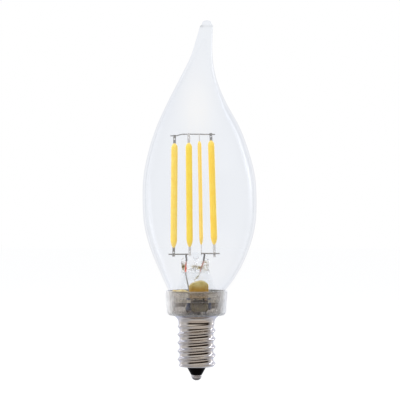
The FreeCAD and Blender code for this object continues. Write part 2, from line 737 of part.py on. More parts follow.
def fusible_resistor():
    """Fusible resistor in the cap, between the centre contact and the board's line wire."""
    foot = "board_base - fuse_drop - fuse_length"
    head = "board_base - fuse_drop"
    body = turned(
        "FusibleResistor",
        [
            ("0", foot),
            ("fuse_radius - fuse_bevel", foot),
            ("fuse_radius", foot + " + fuse_bevel"),
            ("fuse_radius", foot + " + fuse_bulge"),
            ("fuse_waist", foot + " + fuse_bulge + fuse_bevel"),
            ("fuse_waist", head + " - fuse_bulge - fuse_bevel"),
            ("fuse_radius", head + " - fuse_bulge"),
            ("fuse_radius", head + " - fuse_bevel"),
            ("fuse_radius - fuse_bevel", head),
            ("0", head),
        ],
    )
    place(body, "fuse_x", "fuse_y")
    keep(body, "fusible_resistor")
    upper = cylinder("FuseUpperLead", "component_lead", "fuse_tail", "fuse_x", "fuse_y", head)
    keep(upper, "fuse_upper_lead")
    lower = wire(
        "FuseLowerLead",
        "component_lead",
        "wire_bend",
        [
            ("fuse_x", "fuse_y", foot),
            ("fuse_x", "fuse_y", "(%s + pin_top + fuse_lead_slope) / 2" % foot),
            ("0", "0", "(%s + pin_top - fuse_lead_slope) / 2" % foot),
            ("0", "0", "pin_top"),
        ],
    )
    return keep(lower, "fuse_lower_lead")


def insulated_wires():
    """The blue wires from the board: one to the cap's sheet, one to the fusible resistor."""
    joint = "thread_foot + thread_start + thread_pitch * (full_turns + 1 / 4)"
    shell = wire(
        "ShellWire",
        "shell_wire_radius",
        "insulated_bend",
        [
            ("shell_wire_x", "shell_wire_y", "wire_top"),
            ("shell_wire_x", "shell_wire_y", "duct_height"),
            ("shell_wire_x", "shell_wire_turn", "duct_height"),
            ("shell_drop_x", "shell_drop_y", "duct_height"),
            ("shell_drop_x", "shell_drop_y", "shell_strip_height"),
        ],
    )
    keep(shell, "shell_wire")
    strand = wire(
        "ShellStrand",
        "component_lead",
        "wire_bend",
        [
            ("shell_drop_x", "shell_drop_y", "shell_strip_height"),
            ("shell_drop_x", "shell_drop_y", joint),
            ("0", "strand_gap + cap_wall - thread_root", joint),
        ],
    )
    keep(strand, "shell_wire_strand")
    line = wire(
        "LineWire",
        "line_wire_radius",
        "insulated_bend",
        [
            ("line_wire_x", "line_wire_y", "wire_top"),
            ("line_wire_x", "line_wire_y", "duct_height"),
            ("line_wire_x", "line_wire_turn", "duct_height"),
            ("fuse_x", "fuse_y", "duct_height"),
            ("fuse_x", "fuse_y", "board_base - fuse_drop + fuse_tail"),
        ],
    )
    return keep(line, "line_wire")


def bulb_outer():
    """The bulb's outer form: round sections on a centre line that bends to +X at the tip."""
    sections = []
    for word, *_ in BULB:
        name = "Outer" + word.title().replace("_", "")
        sections.append(circle(name, word + "_radius", word + "_lean", "glass_base + %s_rise" % word))
    for angle in DOME_ANGLES:
        radius = "bulb_tip_radius * cos(%d)" % angle
        height = "glass_base + bulb_tip_rise + glass_dome * sin(%d)" % angle
        sections.append(circle("OuterDome%d" % angle, radius, "bulb_tip_lean", height))
    return loft("BulbOuter", sections)


def glass_envelope(outer):
    """Blown bulb: open at the neck, solid at the drawn-out tip."""
    sections = []
    for word, *_ in BULB[:-2]:
        height = "glass_base + %s_rise" % word
        radius = word + "_radius - glass_wall"
        sections.append(circle("Inner" + word.title().replace("_", ""), radius, word + "_lean", height))
    sections.append(circle("InnerEnd", "cavity_end", "cavity_lean", "glass_base + cavity_rise"))
    return keep(cut("GlassEnvelope", outer, loft("BulbInner", sections)), "glass_envelope")


def cross_ends(side):
    """The outer and the inner filament of a lower cross wire, its outward sign, and the face it touches."""
    if side == "left":
        return ("first", "second", "-", 1)
    return ("fourth", "third", "+", -1)


def beside(word, radius, height, face):
    """Place of a wire that touches a filament's tab: face 1 is behind the tab and -1 in front of it."""
    x = "%s_foot + (%s_head - %s_foot) * (%s) / filament_length" % (word, word, word, height)
    half_tab = "tab_thickness / 2 * cos(%s_turn) + tab_width / 2 * abs(sin(%s_turn))" % (word, word)
    return x, "%s_depth + %d * (%s + %s)" % (word, face, half_tab, radius)


def cross_places(side):
    """The four places of a lower cross wire, from past its outer filament to past its inner one."""
    outer, inner, way, face = cross_ends(side)
    back = "+" if way == "-" else "-"
    rise = side + "_cross_rise"
    height = "pinch_top + " + rise
    outer_x, outer_y = beside(outer, "cross_radius", "%s - %s_rise" % (rise, outer), face)
    inner_x, inner_y = beside(inner, "cross_radius", "%s - %s_rise" % (rise, inner), face)
    return [
        ("%s %s cross_overhang" % (outer_x, way), outer_y, height),
        ("%s %s weld_run" % (outer_x, back), outer_y, height),
        ("%s %s weld_run" % (inner_x, way), inner_y, height),
        ("%s %s %s_cross_tail" % (inner_x, back, side), inner_y, height),
    ]


def lead_head(side):
    """Where a lead meets the underside of its cross wire."""
    _, (start_x, start_y, height), (end_x, end_y, _), _ = cross_places(side)
    x = side + "_lead_x"
    share = "(%s - (%s)) / (%s - (%s))" % (x, start_x, end_x, start_x)
    return x, "%s + (%s - (%s)) * %s" % (start_y, end_y, start_y, share), height + " - cross_radius"


def stem_leads():
    """The two lead-in wires, each of a lead below, a seal wire in the glass and a lead above."""
    seal_top = "pinch_top - seal_depth"
    seal_foot = seal_top + " - seal_length"
    leads = []
    for side in ("left", "right"):
        name = side.title()
        top = (side + "_seal_x", "0", seal_top)
        foot = (side + "_seal_foot", "0", seal_foot)
        slope = "(%s_seal_x - %s_seal_foot) / seal_length * seal_run" % (side, side)
        above = ("%s_seal_x + %s" % (side, slope), "0", seal_top + " + seal_run")
        below = ("%s_seal_foot - %s" % (side, slope), "0", seal_foot + " - seal_run")
        x, y, height = lead_head(side)
        neck = (x, y, height + " - seal_run")
        inner = wire(name + "InnerLead", "inner_lead_radius", "wire_bend", [top, above, neck, (x, y, height)])
        leads.append(keep(inner, side + "_inner_lead"))
        seal = wire(name + "Seal", "seal_radius", "wire_bend", [foot, top])
        leads.append(keep(seal, side + "_seal_wire"))
        tail = (side + "_tail_x", side + "_tail_y", "board_base")
        turn = (side + "_tail_x", side + "_tail_y", side + "_tail_top")
        outer = wire(name + "OuterLead", "outer_lead_radius", "wire_bend", [foot, below, turn, tail])
        leads.append(keep(outer, side + "_outer_lead"))
    return leads


def glass_stem(leads):
    """Stem: a flared tube pressed flat round the seal wires, with its exhaust cup and tube."""
    outer_sections = []
    inner_sections = []
    for index, (word, *_) in enumerate(STEM):
        name = word.title().replace("_", "")
        height = "stem_base + %s_rise" % word
        outside = ellipse(name + "Outside", word + "_width", word + "_depth", word + "_shift", height)
        outer_sections.append(outside)
        if index < STEM_HOLLOW:
            width = word + "_width - stem_wall"
            depth = word + "_depth - stem_wall"
            inner_sections.append(ellipse(name + "Inside", width, depth, word + "_shift", height))
    hollow_end = "stem_base + (stem_shoulder_rise + stem_press_rise) / 2"
    end_width = "stem_press_width - stem_wall"
    end_depth = "stem_press_depth - stem_wall"
    inner_sections.append(ellipse("StemHollowEnd", end_width, end_depth, "pinch_shift", hollow_end))
    rim = cylinder("StemRim", "stem_rim", "stem_rim_height", z="stem_base")
    glass = fused("StemOutside", [loft("StemLoft", outer_sections), rim])
    tube = cut("StemShell", glass, loft("StemHollow", inner_sections))
    mouth = "pinch_top + cup_rise"
    boss = cylinder("CupBoss", "cup_radius", "cup_height", "cup_x", "0", mouth + " - cup_height")
    stub_foot = hollow_end + " - exhaust_stub"
    stub = cylinder("ExhaustStub", "exhaust_radius", "exhaust_stub + stem_wall", "cup_x", "0", stub_foot)
    solid = fused("StemWithCup", [tube, boss, stub])
    hollow = cylinder("CupHollow", "cup_radius - cup_wall", "cup_depth", "cup_x", "0", mouth + " - cup_depth")
    channel_foot = stub_foot + " + exhaust_radius"
    channel_length = "%s - cup_depth / 2 - (%s)" % (mouth, channel_foot)
    channel = cylinder("ExhaustChannel", "exhaust_bore", channel_length, "cup_x", "0", channel_foot)
    bored = cut("StemBored", solid, fused("StemBores", [hollow, channel]))
    return keep(cut("GlassStem", bored, fused("StemWirePaths", leads)), "glass_stem")


def neck_glue(outer):
    """Glue between the bulb's neck and the collar, squeezed out in a low bead at the front left."""
    fill = cylinder("GlueFill", "collar_bore", "collar_top - glue_base", z="glue_base")
    rim_room = cylinder("GlueRimRoom", "stem_rim", "glass_base - glue_base", z="glue_base")
    bead = doc.addObject("Part::Cone", "GlueBead")
    bind(bead, Radius1="bead_radius", Radius2="bead_radius", Height="bead_height", Angle="bead_sweep")
    bind(bead, Placement_at_Rotation_at_Angle="bead_start")
    place(bead, z="collar_top")
    ring = cut("GlueRing", fill, rim_room)
    whole = fused("GlueWhole", [ring, bead])
    return keep(cut("NeckGlue", whole, outer), "neck_glue")


def filament_frame(word):
    """Placement of a filament: its foot, its lean from foot to head, and its turn about its own length."""
    foot = Vector(size(word + "_foot"), size(word + "_depth"), size("pinch_top + " + word + "_rise"))
    lean = math.degrees(math.atan2(size(word + "_head") - foot.x, size("filament_length")))
    rotation = Rotation(Vector(0, 1, 0), lean).multiply(Rotation(Vector(0, 0, 1), size(word + "_turn")))
    return FreeCAD.Placement(foot, rotation)


def filament(word):
    """A coated light strip with rounded ends, and the flat metal tab at each end of it."""
    title = word.title()
    frame = filament_frame(word)
    strip = doc.addObject("Part::Ellipse", title + "Section")
    bind(strip, MajorRadius="filament_width / 2", MinorRadius="filament_depth / 2")
    place(strip, z="filament_taper")
    pull = doc.addObject("Part::Extrusion", title + "Middle")
    pull.Base = strip
    pull.Dir = Vector(0, 0, 1)
    pull.DirMode = "Custom"
    pull.Solid = True
    bind(pull, LengthFwd="filament_length - 2 * filament_taper")
    parts = [pull]
    for end, height in (("Lower", "filament_taper"), ("Upper", "filament_length - filament_taper")):
        cap = doc.addObject("Part::Ellipsoid", title + end + "End")
        bind(cap, Radius1="filament_taper", Radius2="filament_width / 2", Radius3="filament_depth / 2")
        place(cap, z=height)
        parts.append(cap)
    slots = []
    tabs = []
    for end, edge, out in (("Lower", "0", -1), ("Upper", "filament_length", 1)):
        free = "%s_%s" % (word, end.lower())
        base = "%s - %s" % (edge, free if out < 0 else "tab_root")
        length = free + " + tab_root"
        plate = box(title + end + "Plate", "tab_width", "tab_thickness", length, "0", "0", base)
        slots.append(box(title + end + "Slot", "tab_width", "tab_thickness", length, "0", "0", base))
        hole = cylinder(title + end + "TabHole", "tab_hole", "tab_thickness * 3")
        hole.Placement.Rotation = Rotation(Vector(1, 0, 0), 90)
        place(hole, "0", "tab_thickness * 1.5", "%s + %d * %s / 2" % (edge, out, free))
        tabs.append((end, cut(title + end + "Tab", plate, hole)))
    body = cut(title + "Filament", fused(title + "Strip", parts), fused(title + "Slots", slots))
    body.Placement = frame
    keep(body, word + "_filament")
    for end, tab in tabs:
        tab.Placement = frame
        keep(tab, "%s_%s_tab" % (word, end.lower()))


def cross_wires():
    """The wires that carry the filaments: one across each pair below, and a bridge over all four."""
    for side in ("left", "right"):
        cross = wire(side.title() + "CrossWire", "cross_radius", "wire_bend", cross_places(side))
        keep(cross, side + "_cross_wire")
    height = "pinch_top + first_rise + filament_length + first_upper - bridge_inset"
    (first_x, first_y), (second_x, second_y), (third_x, third_y), (fourth_x, fourth_y) = [
        beside(word, "bridge_radius", "filament_length + %s_upper" % word, 1) for word, *_ in FILAMENTS
    ]
    bridge = wire(
        "BridgeWire",
        "bridge_radius",
        "wire_bend",
        [
            (first_x + " - bridge_overhang", first_y, height),
            (first_x + " + weld_run", first_y, height),
            (second_x + " - bridge_run", second_y, height + " + bridge_hump"),
            (second_x + " + weld_run", second_y, height + " + bridge_hump"),
            (third_x + " - weld_run", third_y, height + " + bridge_hump"),
            (third_x + " + weld_run", third_y, height + " + bridge_hump"),
            (fourth_x + " - weld_run", fourth_y, height + " + bridge_hump - bridge_fall"),
            (fourth_x + " + bridge_overhang", fourth_y, height + " + bridge_hump - bridge_fall"),
        ],
    )
    return keep(bridge, "bridge_wire")


def build():
    """Make every sub-part."""
    fill_sheet()
    centre_contact()
    cap_insulator()
    cap_shell()
    collar()
    driver_board()
    for name, *_, legs in CHIPS:
        chip(name, legs)
    film_capacitor()
    smoothing_capacitor()
    choke()
    fusible_resistor()
    insulated_wires()
    outer = bulb_outer()
    glass_envelope(outer)
    glass_stem(stem_leads())
    neck_glue(outer)
    for word, *_ in FILAMENTS:
        filament(word)
    cross_wires()
    doc.recompute()


def check():
    """Stop if any object failed or any sub-part has no valid solid."""
    for item in doc.Objects:
        if "Invalid" in item.State or "Error" in item.State:
            raise RuntimeError("%s failed" % item.Name)
    for piece in pieces:
        shape = piece.Shape
        if shape.isNull() or not shape.isValid() or not shape.Solids:
            raise RuntimeError("%s has no valid solid" % piece.Label)


def write():
    """Write one file for each sub-part."""
    os.makedirs("parts", exist_ok=True)
    for piece in pieces:
        piece.Shape.exportStep("parts/%s.step" % piece.Label)
        print("%-28s %d solids %10.3f mm3" % (piece.Label, len(piece.Shape.Solids), piece.Shape.Volume))


build()
check()
write()
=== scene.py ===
# %% [markdown]
# # A clear candle lamp with a bent tip
# The lamp is a thin blown bulb with four light filaments on a glass stem. A clear plastic collar holds
# its small driver, and a nickel screw cap holds it in the socket. The solids come measured and in place.
# This file gives them their looks: smooth glass, a rolled thread, phosphor, wires, glue and a studio.
# The solids are loaded first, because every piece below takes its place from them.

# %% Load the solids
import math

import bmesh
import bpy
import numpy as np
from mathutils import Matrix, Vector, noise


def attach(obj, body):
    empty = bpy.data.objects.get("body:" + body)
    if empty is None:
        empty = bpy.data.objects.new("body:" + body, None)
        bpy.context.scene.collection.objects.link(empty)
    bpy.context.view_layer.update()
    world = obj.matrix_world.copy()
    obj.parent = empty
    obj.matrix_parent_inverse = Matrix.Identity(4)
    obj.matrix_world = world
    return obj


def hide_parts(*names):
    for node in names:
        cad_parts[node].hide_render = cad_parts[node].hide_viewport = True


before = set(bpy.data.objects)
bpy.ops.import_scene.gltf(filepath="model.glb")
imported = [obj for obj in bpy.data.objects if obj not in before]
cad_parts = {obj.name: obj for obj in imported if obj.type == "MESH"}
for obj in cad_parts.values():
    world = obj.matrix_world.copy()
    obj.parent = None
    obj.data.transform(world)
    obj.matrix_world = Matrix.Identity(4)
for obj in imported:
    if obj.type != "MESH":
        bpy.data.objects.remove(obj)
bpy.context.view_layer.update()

MM = 0.001

# %% [markdown]
# ## Camera
# A small product is photographed from some way off with a long lens, so that its sides stay parallel.
# Here the camera stands 570 mm away, level with the middle of the lamp. The collar's rim then bends by
# two pixels, as it does in the photograph. The lens follows from the width that the frame has to hold.

# %% Camera
FRAME_WIDTH = 123.2 * MM
AIM = Vector((1.08 * MM, 0.0, 55.5 * MM))
DISTANCE = 570 * MM


def in_scene(name, data):
    """A new object that stands in the scene."""
    thing = bpy.data.objects.new(name, data)
    bpy.context.scene.collection.objects.link(thing)
    return thing


camera_data = bpy.data.cameras.new("camera")
camera_data.sensor_width = 36.0
camera_data.lens = camera_data.sensor_width * DISTANCE / FRAME_WIDTH
camera_data.clip_start = 0.01
camera = in_scene("camera", camera_data)
camera.location = AIM + Vector((0, -DISTANCE, 0))
camera.rotation_euler = (math.radians(90), 0, 0)
bpy.context.scene.camera = camera
print("lens: %.1f mm" % camera_data.lens)

# %% [markdown]
# ## Node trees
# The world and every finish are trees of nodes. Written out one by one, their settings would hide what a
# tree is for. So one helper adds a node and feeds its inputs with numbers, colours or the outputs of other
# nodes, and a few more add what comes up most: a range, a sum, a blend of colours, a mix of shaders.

# %% Node helpers
def link(tree, *pairs):
    """Join sockets in pairs of output and input."""
    for output, target in pairs:
        tree.links.new(output, target)


def feed(tree, target, value):
    """Set an input to a value, or link it to the output of another node."""
    if isinstance(value, bpy.types.NodeSocket):
        tree.links.new(value, target)
    else:
        target.default_value = value


def add(tree, kind, **inputs):
    """A shader node with its inputs fed by name."""
    node = tree.nodes.new("ShaderNode" + kind)
    for name, value in inputs.items():
        feed(tree, node.inputs[name], value)
    return node


def ranged(tree, value, low, high, to_low=0.0, to_high=1.0, smooth=True):
    """A value carried from one range to another, softly or straight."""
    node = add(tree, "MapRange", Value=value)
    node.interpolation_type = "SMOOTHSTEP" if smooth else "LINEAR"
    for name, end in (("From Min", low), ("From Max", high), ("To Min", to_low), ("To Max", to_high)):
        feed(tree, node.inputs[name], end)
    return node.outputs[0]


def maths(tree, operation, *values):
    """The result of a sum over numbers and outputs."""
    node = add(tree, "Math")
    node.operation = operation
    for index, value in enumerate(values):
        feed(tree, node.inputs[index], value)
    return node.outputs[0]


def blend(tree, share, first, second):
    """One colour turned to another by a share."""
    node = add(tree, "Mix")
    node.data_type = "RGBA"
    for name, value in (("Factor", share), ("A", first), ("B", second)):
        feed(tree, node.inputs[name], value)
    return node.outputs["Result"]


def mix_shader(tree, share, first, second):
    """One shader turned to another by a share."""
    node = add(tree, "MixShader", Fac=share)
    link(tree, (first.outputs[0], node.inputs[1]), (second.outputs[0], node.inputs[2]))
    return node


def ramp(tree, value, stops):
    """A row of colours, from stops of place and colour."""
    node = add(tree, "ValToRGB", Fac=value)
    elements = node.color_ramp.elements
    for place, colour in stops[1:-1]:
        elements.new(place)
    for element, (place, colour) in zip(elements, stops):
        element.position = place
        element.color = (*colour, 1)
    return node.outputs[0]


def seen_directly(tree):
    """One for the rays that the camera sends out, also where they go on through glass."""
    path = add(tree, "LightPath").outputs
    return maths(tree, "MAXIMUM", path["Is Camera Ray"], path["Is Transmission Ray"])

# %% [markdown]
# ## Studio
# Clear glass and bright metal show mostly what stands around them. The studio is white behind whatever
# the camera sees directly or through glass. For reflections it is a grey room with level stripes. The
# front wall, turned a little to the right, has a dark stripe at the height of the camera and paler and
# darker ones above and below it: they draw the lines in the rolled thread. The side walls have softer,
# slightly blue stripes, and the far end of the room is brighter. Two narrow windows behind, at the left and
# the right and bright above their sills, put the long light streaks on the bulb. Each is given by its
# bearing in degrees, its width as a share of the full turn, and its strength. Cards on stands could do the
# same, but the world's nodes cast no shadow and stay out of every view.

# %% Stripes and windows
FRONT_STRIPES = [
    (0.00, (0.52, 0.49, 0.46)),
    (0.12, (0.62, 0.58, 0.55)),
    (0.20, (0.30, 0.27, 0.25)),
    (0.28, (0.74, 0.69, 0.64)),
    (0.36, (0.22, 0.19, 0.17)),
    (0.43, (0.02, 0.015, 0.012)),
    (0.57, (0.02, 0.015, 0.012)),
    (0.63, (0.30, 0.27, 0.25)),
    (0.71, (0.86, 0.82, 0.76)),
    (0.81, (0.40, 0.37, 0.35)),
    (0.90, (0.74, 0.72, 0.70)),
    (1.00, (0.55, 0.53, 0.52)),
]
SIDE_STRIPES = [
    (0.00, (0.42, 0.43, 0.46)),
    (0.28, (0.50, 0.52, 0.58)),
    (0.42, (0.56, 0.56, 0.58)),
    (0.55, (0.66, 0.67, 0.70)),
    (0.66, (0.60, 0.61, 0.66)),
    (0.78, (0.40, 0.43, 0.52)),
    (1.00, (0.46, 0.47, 0.52)),
]
FRONT_TURN = math.radians(16)
FRONT_EDGE = (-0.05, 0.5)
WINDOWS = [(-134, 0.014, 0.25), (127, 0.016, 1.0)]
SILL = (-0.12, 0.12)
WINDOW_LIGHT = (0.35, 5.0)
FAR_END = (0.25, 0.80)
FAR_LIGHT = (1.0, 1.65)
ROOM_TINT = (0.97, 0.98, 1.0, 1)
ROOM_LIGHT = 0.62

# %% Walls
world = bpy.data.worlds.new("studio")
bpy.context.scene.world = world
world.use_nodes = True
tree = world.node_tree
tree.nodes.clear()
direction = add(tree, "TexCoord").outputs["Generated"]
right, away, up = add(tree, "SeparateXYZ", Vector=direction).outputs
height = ranged(tree, up, -1.0, 1.0, smooth=False)
front = add(tree, "VectorMath")
front.operation = "DOT_PRODUCT"
front.inputs[1].default_value = (math.sin(FRONT_TURN), -math.cos(FRONT_TURN), 0)
link(tree, (direction, front.inputs[0]))
ahead = ranged(tree, front.outputs["Value"], *FRONT_EDGE)
wall = blend(tree, ahead, ramp(tree, height, SIDE_STRIPES), ramp(tree, height, FRONT_STRIPES))

# %% Windows and far end
azimuth = maths(tree, "ARCTAN2", right, maths(tree, "MULTIPLY", away, -1.0))
round_the_room = ranged(tree, azimuth, -math.pi, math.pi, smooth=False)
panes = [(0.0, 0.0)]
for degrees, width, strength in WINDOWS:
    for side, light in ((-1, 0.0), (-0.5, strength), (0.5, strength), (1, 0.0)):
        panes.append((0.5 + degrees / 360 + side * width, light))
panes.append((1.0, 0.0))
windows = ramp(tree, round_the_room, [(place, (light, light, light)) for place, light in panes])
sill = ranged(tree, up, *SILL, *WINDOW_LIGHT)
glare = maths(tree, "MULTIPLY_ADD", windows, sill, ranged(tree, away, *FAR_END, *FAR_LIGHT))

# %% World
soft = add(tree, "Background", Color=ROOM_TINT, Strength=ROOM_LIGHT)
mirrored = add(tree, "Background", Color=wall, Strength=glare)
white = add(tree, "Background", Color=(1, 1, 1, 1))
unseen = mix_shader(tree, add(tree, "LightPath").outputs["Is Glossy Ray"], soft, mirrored)
room = mix_shader(tree, seen_directly(tree), unseen, white)
add(tree, "OutputWorld", Surface=room.outputs[0])
bpy.context.scene.view_settings.view_transform = "Standard"
print("nodes of the room:", len(tree.nodes))

# %% [markdown]
# ## Lamps
# Three soft boxes stand round the lamp: a cool one on the right, a broad one on the left to fill that
# side, and one above in front for the filaments. Each is weak: together with the room they bring a white
# surface just under white. They stay out of reflections, because the room's stripes already stand there.

# %% Lamps
def soft_box(name, place, width, height, power, colour):
    """An area lamp that points at the middle of the object."""
    data = bpy.data.lights.new(name, "AREA")
    data.shape = "RECTANGLE"
    data.size = width
    data.size_y = height
    data.energy = power
    data.color = colour
    lamp = in_scene(name, data)
    lamp.location = place
    lamp.rotation_euler = (AIM - Vector(place)).to_track_quat("-Z", "Y").to_euler()
    lamp.visible_glossy = False


soft_box("right_box", (0.46, 0.10, 0.10), 0.22, 0.5, 1.5, (0.86, 0.92, 1.0))
soft_box("left_box", (-0.48, -0.08, 0.12), 0.35, 0.5, 1.2, (0.96, 0.98, 1.0))
soft_box("top_box", (-0.10, -0.42, 0.45), 0.4, 0.3, 1.6, (1.0, 0.98, 0.95))
print("lamps:", len(bpy.data.lights))

# %% [markdown]
# ## Floor
# The floor is plain and white, and lies a little below the lamp, which a socket would hold. A share of
# its brightness comes from the Light Path node, so that it stays white far away, and the rest from the
# lamps, so that it keeps the lamp's soft shadow.

# %% Floor
FLOOR_LEVEL = -25 * MM
FLOOR_HALF = 2.5
FLOOR_GREY = 0.4
FLOOR_GLOW = 0.748


def bare_material(name):
    """A material with an empty tree, and the tree."""
    material = bpy.data.materials.new(name)
    material.use_nodes = True
    material.node_tree.nodes.clear()
    return material, material.node_tree


paper, tree = bare_material("white_paper")
matt = add(tree, "BsdfDiffuse", Color=(FLOOR_GREY, FLOOR_GREY, FLOOR_GREY, 1))
glow = add(tree, "Emission", Strength=maths(tree, "MULTIPLY", seen_directly(tree), FLOOR_GLOW))
total = add(tree, "AddShader")
link(tree, (matt.outputs[0], total.inputs[0]), (glow.outputs[0], total.inputs[1]))
add(tree, "OutputMaterial", Surface=total.outputs[0])

corners = [(x * FLOOR_HALF, y * FLOOR_HALF, FLOOR_LEVEL) for x, y in ((-1, -1), (1, -1), (1, 1), (-1, 1))]
floor_mesh = bpy.data.meshes.new("floor")
floor_mesh.from_pydata(corners, [], [(0, 1, 2, 3)])
floor_mesh.materials.append(paper)
floor = in_scene("floor", floor_mesh)
floor.visible_glossy = False
print("floor level: %.0f mm" % (FLOOR_LEVEL / MM))

# %% [markdown]
# ## Colours as the eye reads them
# Colours are written here as they look on a screen, from 0 to 255, and turned to the linear values that
# the shaders work with. Most finishes share one recipe: two near colours mixed by a fine noise, a
# roughness that wanders a little, and a shallow bump. A flat colour would look like painted paper.

# %% Recipe of a finish
def shade(red, green, blue):
    """A screen colour as linear light."""
    linear = []
    for value in (red, green, blue):
        value /= 255
        linear.append(value / 12.92 if value <= 0.04045 else ((value + 0.055) / 1.055) ** 2.4)
    return (*linear, 1.0)


def grains(tree, scale, detail):
    """A noise over the object's own coordinates, with its fineness along each axis."""
    place = add(tree, "TexCoord").outputs["Object"]
    mapping = add(tree, "Mapping", Vector=place, Scale=scale)
    return add(tree, "TexNoise", Vector=mapping.outputs[0], Scale=1.0, Detail=detail).outputs["Fac"]


def wrinkled(tree, inputs, height, strength, depth):
    """Let a height wrinkle the surface of the shader that has these inputs."""
    relief = add(tree, "Bump", Height=height, Strength=strength, Distance=depth)
    link(tree, (relief.outputs[0], inputs["Normal"]))


def principled(material):
    """The inputs of a material's main shader."""
    return material.node_tree.nodes["Principled BSDF"].inputs


def finish(name, pale, deep, grain, rough, metal=0.0, bump=0.1, stretch=1, clear_coat=0.0, gloss=0.5):
    """A material of two mottled screen colours, with a wandering roughness and a fine bump."""
    material = bpy.data.materials.new(name)
    material.use_nodes = True
    tree = material.node_tree
    fine = grain / MM
    mottle = grains(tree, (fine, fine, fine * stretch), 4.0)
    spread = ranged(tree, mottle, 0.35, 0.65, smooth=False)
    for key, value in (
        ("Metallic", metal),
        ("Coat Weight", clear_coat),
        ("Specular IOR Level", gloss),
        ("Base Color", blend(tree, spread, shade(*pale), shade(*deep))),
        ("Roughness", ranged(tree, mottle, 0.0, 1.0, *rough, smooth=False)),
    ):
        feed(tree, principled(material)[key], value)
    wrinkled(tree, principled(material), mottle, bump, 0.05 * MM)
    return material

# %% Second colours
def object_axes(tree):
    """The object's own X, Y and Z."""
    return add(tree, "SeparateXYZ", Vector=add(tree, "TexCoord").outputs["Object"]).outputs


def attribute(tree, name):
    """The value of a mesh attribute."""
    node = add(tree, "Attribute")
    node.attribute_name = name
    return node.outputs["Fac"]


def recoloured(material, share, colour):
    """The material with its colour turned to another by an output of its own tree."""
    tree = material.node_tree
    base = principled(material)["Base Color"]
    link(tree, (blend(tree, share, base.links[0].from_socket, shade(*colour)), base))
    return material


def tinted_below(material, height, reach, colour):
    """The material with another colour below a height, in millimetres, blended over a reach."""
    tree = material.node_tree
    below = ranged(tree, object_axes(tree)["Z"], (height + reach) * MM, (height - reach) * MM)
    return recoloured(material, below, colour)

# %% Metals
nickel_cap = finish("nickel_cap", (232, 225, 217), (218, 209, 200), 0.25, (0.07, 0.13), 1.0, 0.05, 6)
principled(nickel_cap)["Specular Tint"].default_value = (0.7, 0.74, 0.86, 1)
bright_tin = finish("bright_tin", (226, 222, 222), (198, 194, 194), 0.9, (0.26, 0.42), 0.8, 0.08)
nickel_wire = finish("nickel_wire", (160, 157, 156), (128, 124, 123), 2.0, (0.4, 0.55), 0.3, 0.1, 3)
thin_steel = finish("thin_steel", (214, 210, 206), (160, 156, 152), 1.5, (0.35, 0.5), 0.45, 0.12)
pale_wire = finish("pale_wire", (196, 194, 192), (168, 165, 162), 2.0, (0.4, 0.55), 0.4, 0.1, 3)
# A paler, less metallic lit copy of the steel: a painted highlight.
bright_steel = finish("bright_steel", (250, 247, 244), (234, 230, 226), 1.5, (0.35, 0.5), 0.15, 0.12)
seal_red = finish("seal_red", (206, 168, 160), (186, 140, 132), 1.5, (0.3, 0.45), 0.2, 0.08)
seal_pale = finish("seal_pale", (214, 178, 170), (200, 156, 146), 1.5, (0.3, 0.45), 0.2, 0.08)
tinned_wire = finish("tinned_wire", (168, 165, 162), (136, 132, 130), 2.0, (0.28, 0.42), 1.0, 0.1, 3)
dark_wire = finish("dark_wire", (34, 34, 36), (22, 22, 24), 2.0, (0.4, 0.5), 0.3, 0.1)
enamelled_copper = finish("enamelled_copper", (186, 104, 58), (156, 80, 40), 1.4, (0.2, 0.3), 1.0, 0.05)

# %% Ceramics, paints and plastics
black_glass = finish("black_glass", (3, 2, 2), (6, 4, 4), 0.6, (0.2, 0.3), 0.0, 0.04, gloss=0.04)
laminate = finish("laminate", (196, 194, 186), (172, 170, 160), 1.2, (0.4, 0.55))
white_ceramic = finish("white_ceramic", (214, 208, 200), (188, 182, 174), 3.0, (0.4, 0.55))
chip_grey = finish("chip_grey", (168, 162, 156), (140, 134, 128), 2.0, (0.45, 0.6), 0.0, 0.15)
chip_tan = finish("chip_tan", (204, 190, 166), (178, 162, 138), 2.0, (0.45, 0.6), 0.0, 0.15)
olive_dip = finish("olive_dip", (128, 122, 96), (98, 92, 70), 0.8, (0.2, 0.35), 0.0, 0.2, clear_coat=0.4)
can_sleeve = finish("can_sleeve", (44, 48, 60), (34, 36, 46), 0.7, (0.3, 0.42), 0.0, 0.12, clear_coat=0.2)
ferrite = finish("ferrite", (60, 58, 58), (44, 42, 42), 1.6, (0.5, 0.7), 0.0, 0.3)
lacquer = finish("lacquer", (128, 142, 128), (104, 118, 106), 1.0, (0.35, 0.5), 0.0, 0.15)
blue_sleeve = finish("blue_sleeve", (84, 108, 152), (68, 90, 132), 1.0, (0.3, 0.42))
print("finishes:", len(bpy.data.materials) - 1)

# %% [markdown]
# ## Clear glass
# The blown wall is under a millimetre thick and bends light hardly at all, so it is thin glass: light
# goes straight through with a faint cold tint, and the share that the wall mirrors grows towards its
# edges. Real refraction would cost many samples for little. A Fresnel node would take each inner skin for
# the way out of solid glass and turn it into a full mirror, so the share comes from the Facing value. The
# outer skin carries nearly all of the tint, so that the wall's section looks no paler than the hollow.
# The stem and the collar are thick, so they do refract. For shadow rays they turn transparent, or the
# lamps could not light what is inside.

# %% Thin glass
EDGE_POWER = 4.0
GLASS_ROUGHNESS = 0.015


def facing(tree):
    """How far the surface turns away from the view, for gloss and tints at the edges."""
    return add(tree, "LayerWeight", Blend=0.5).outputs["Facing"]


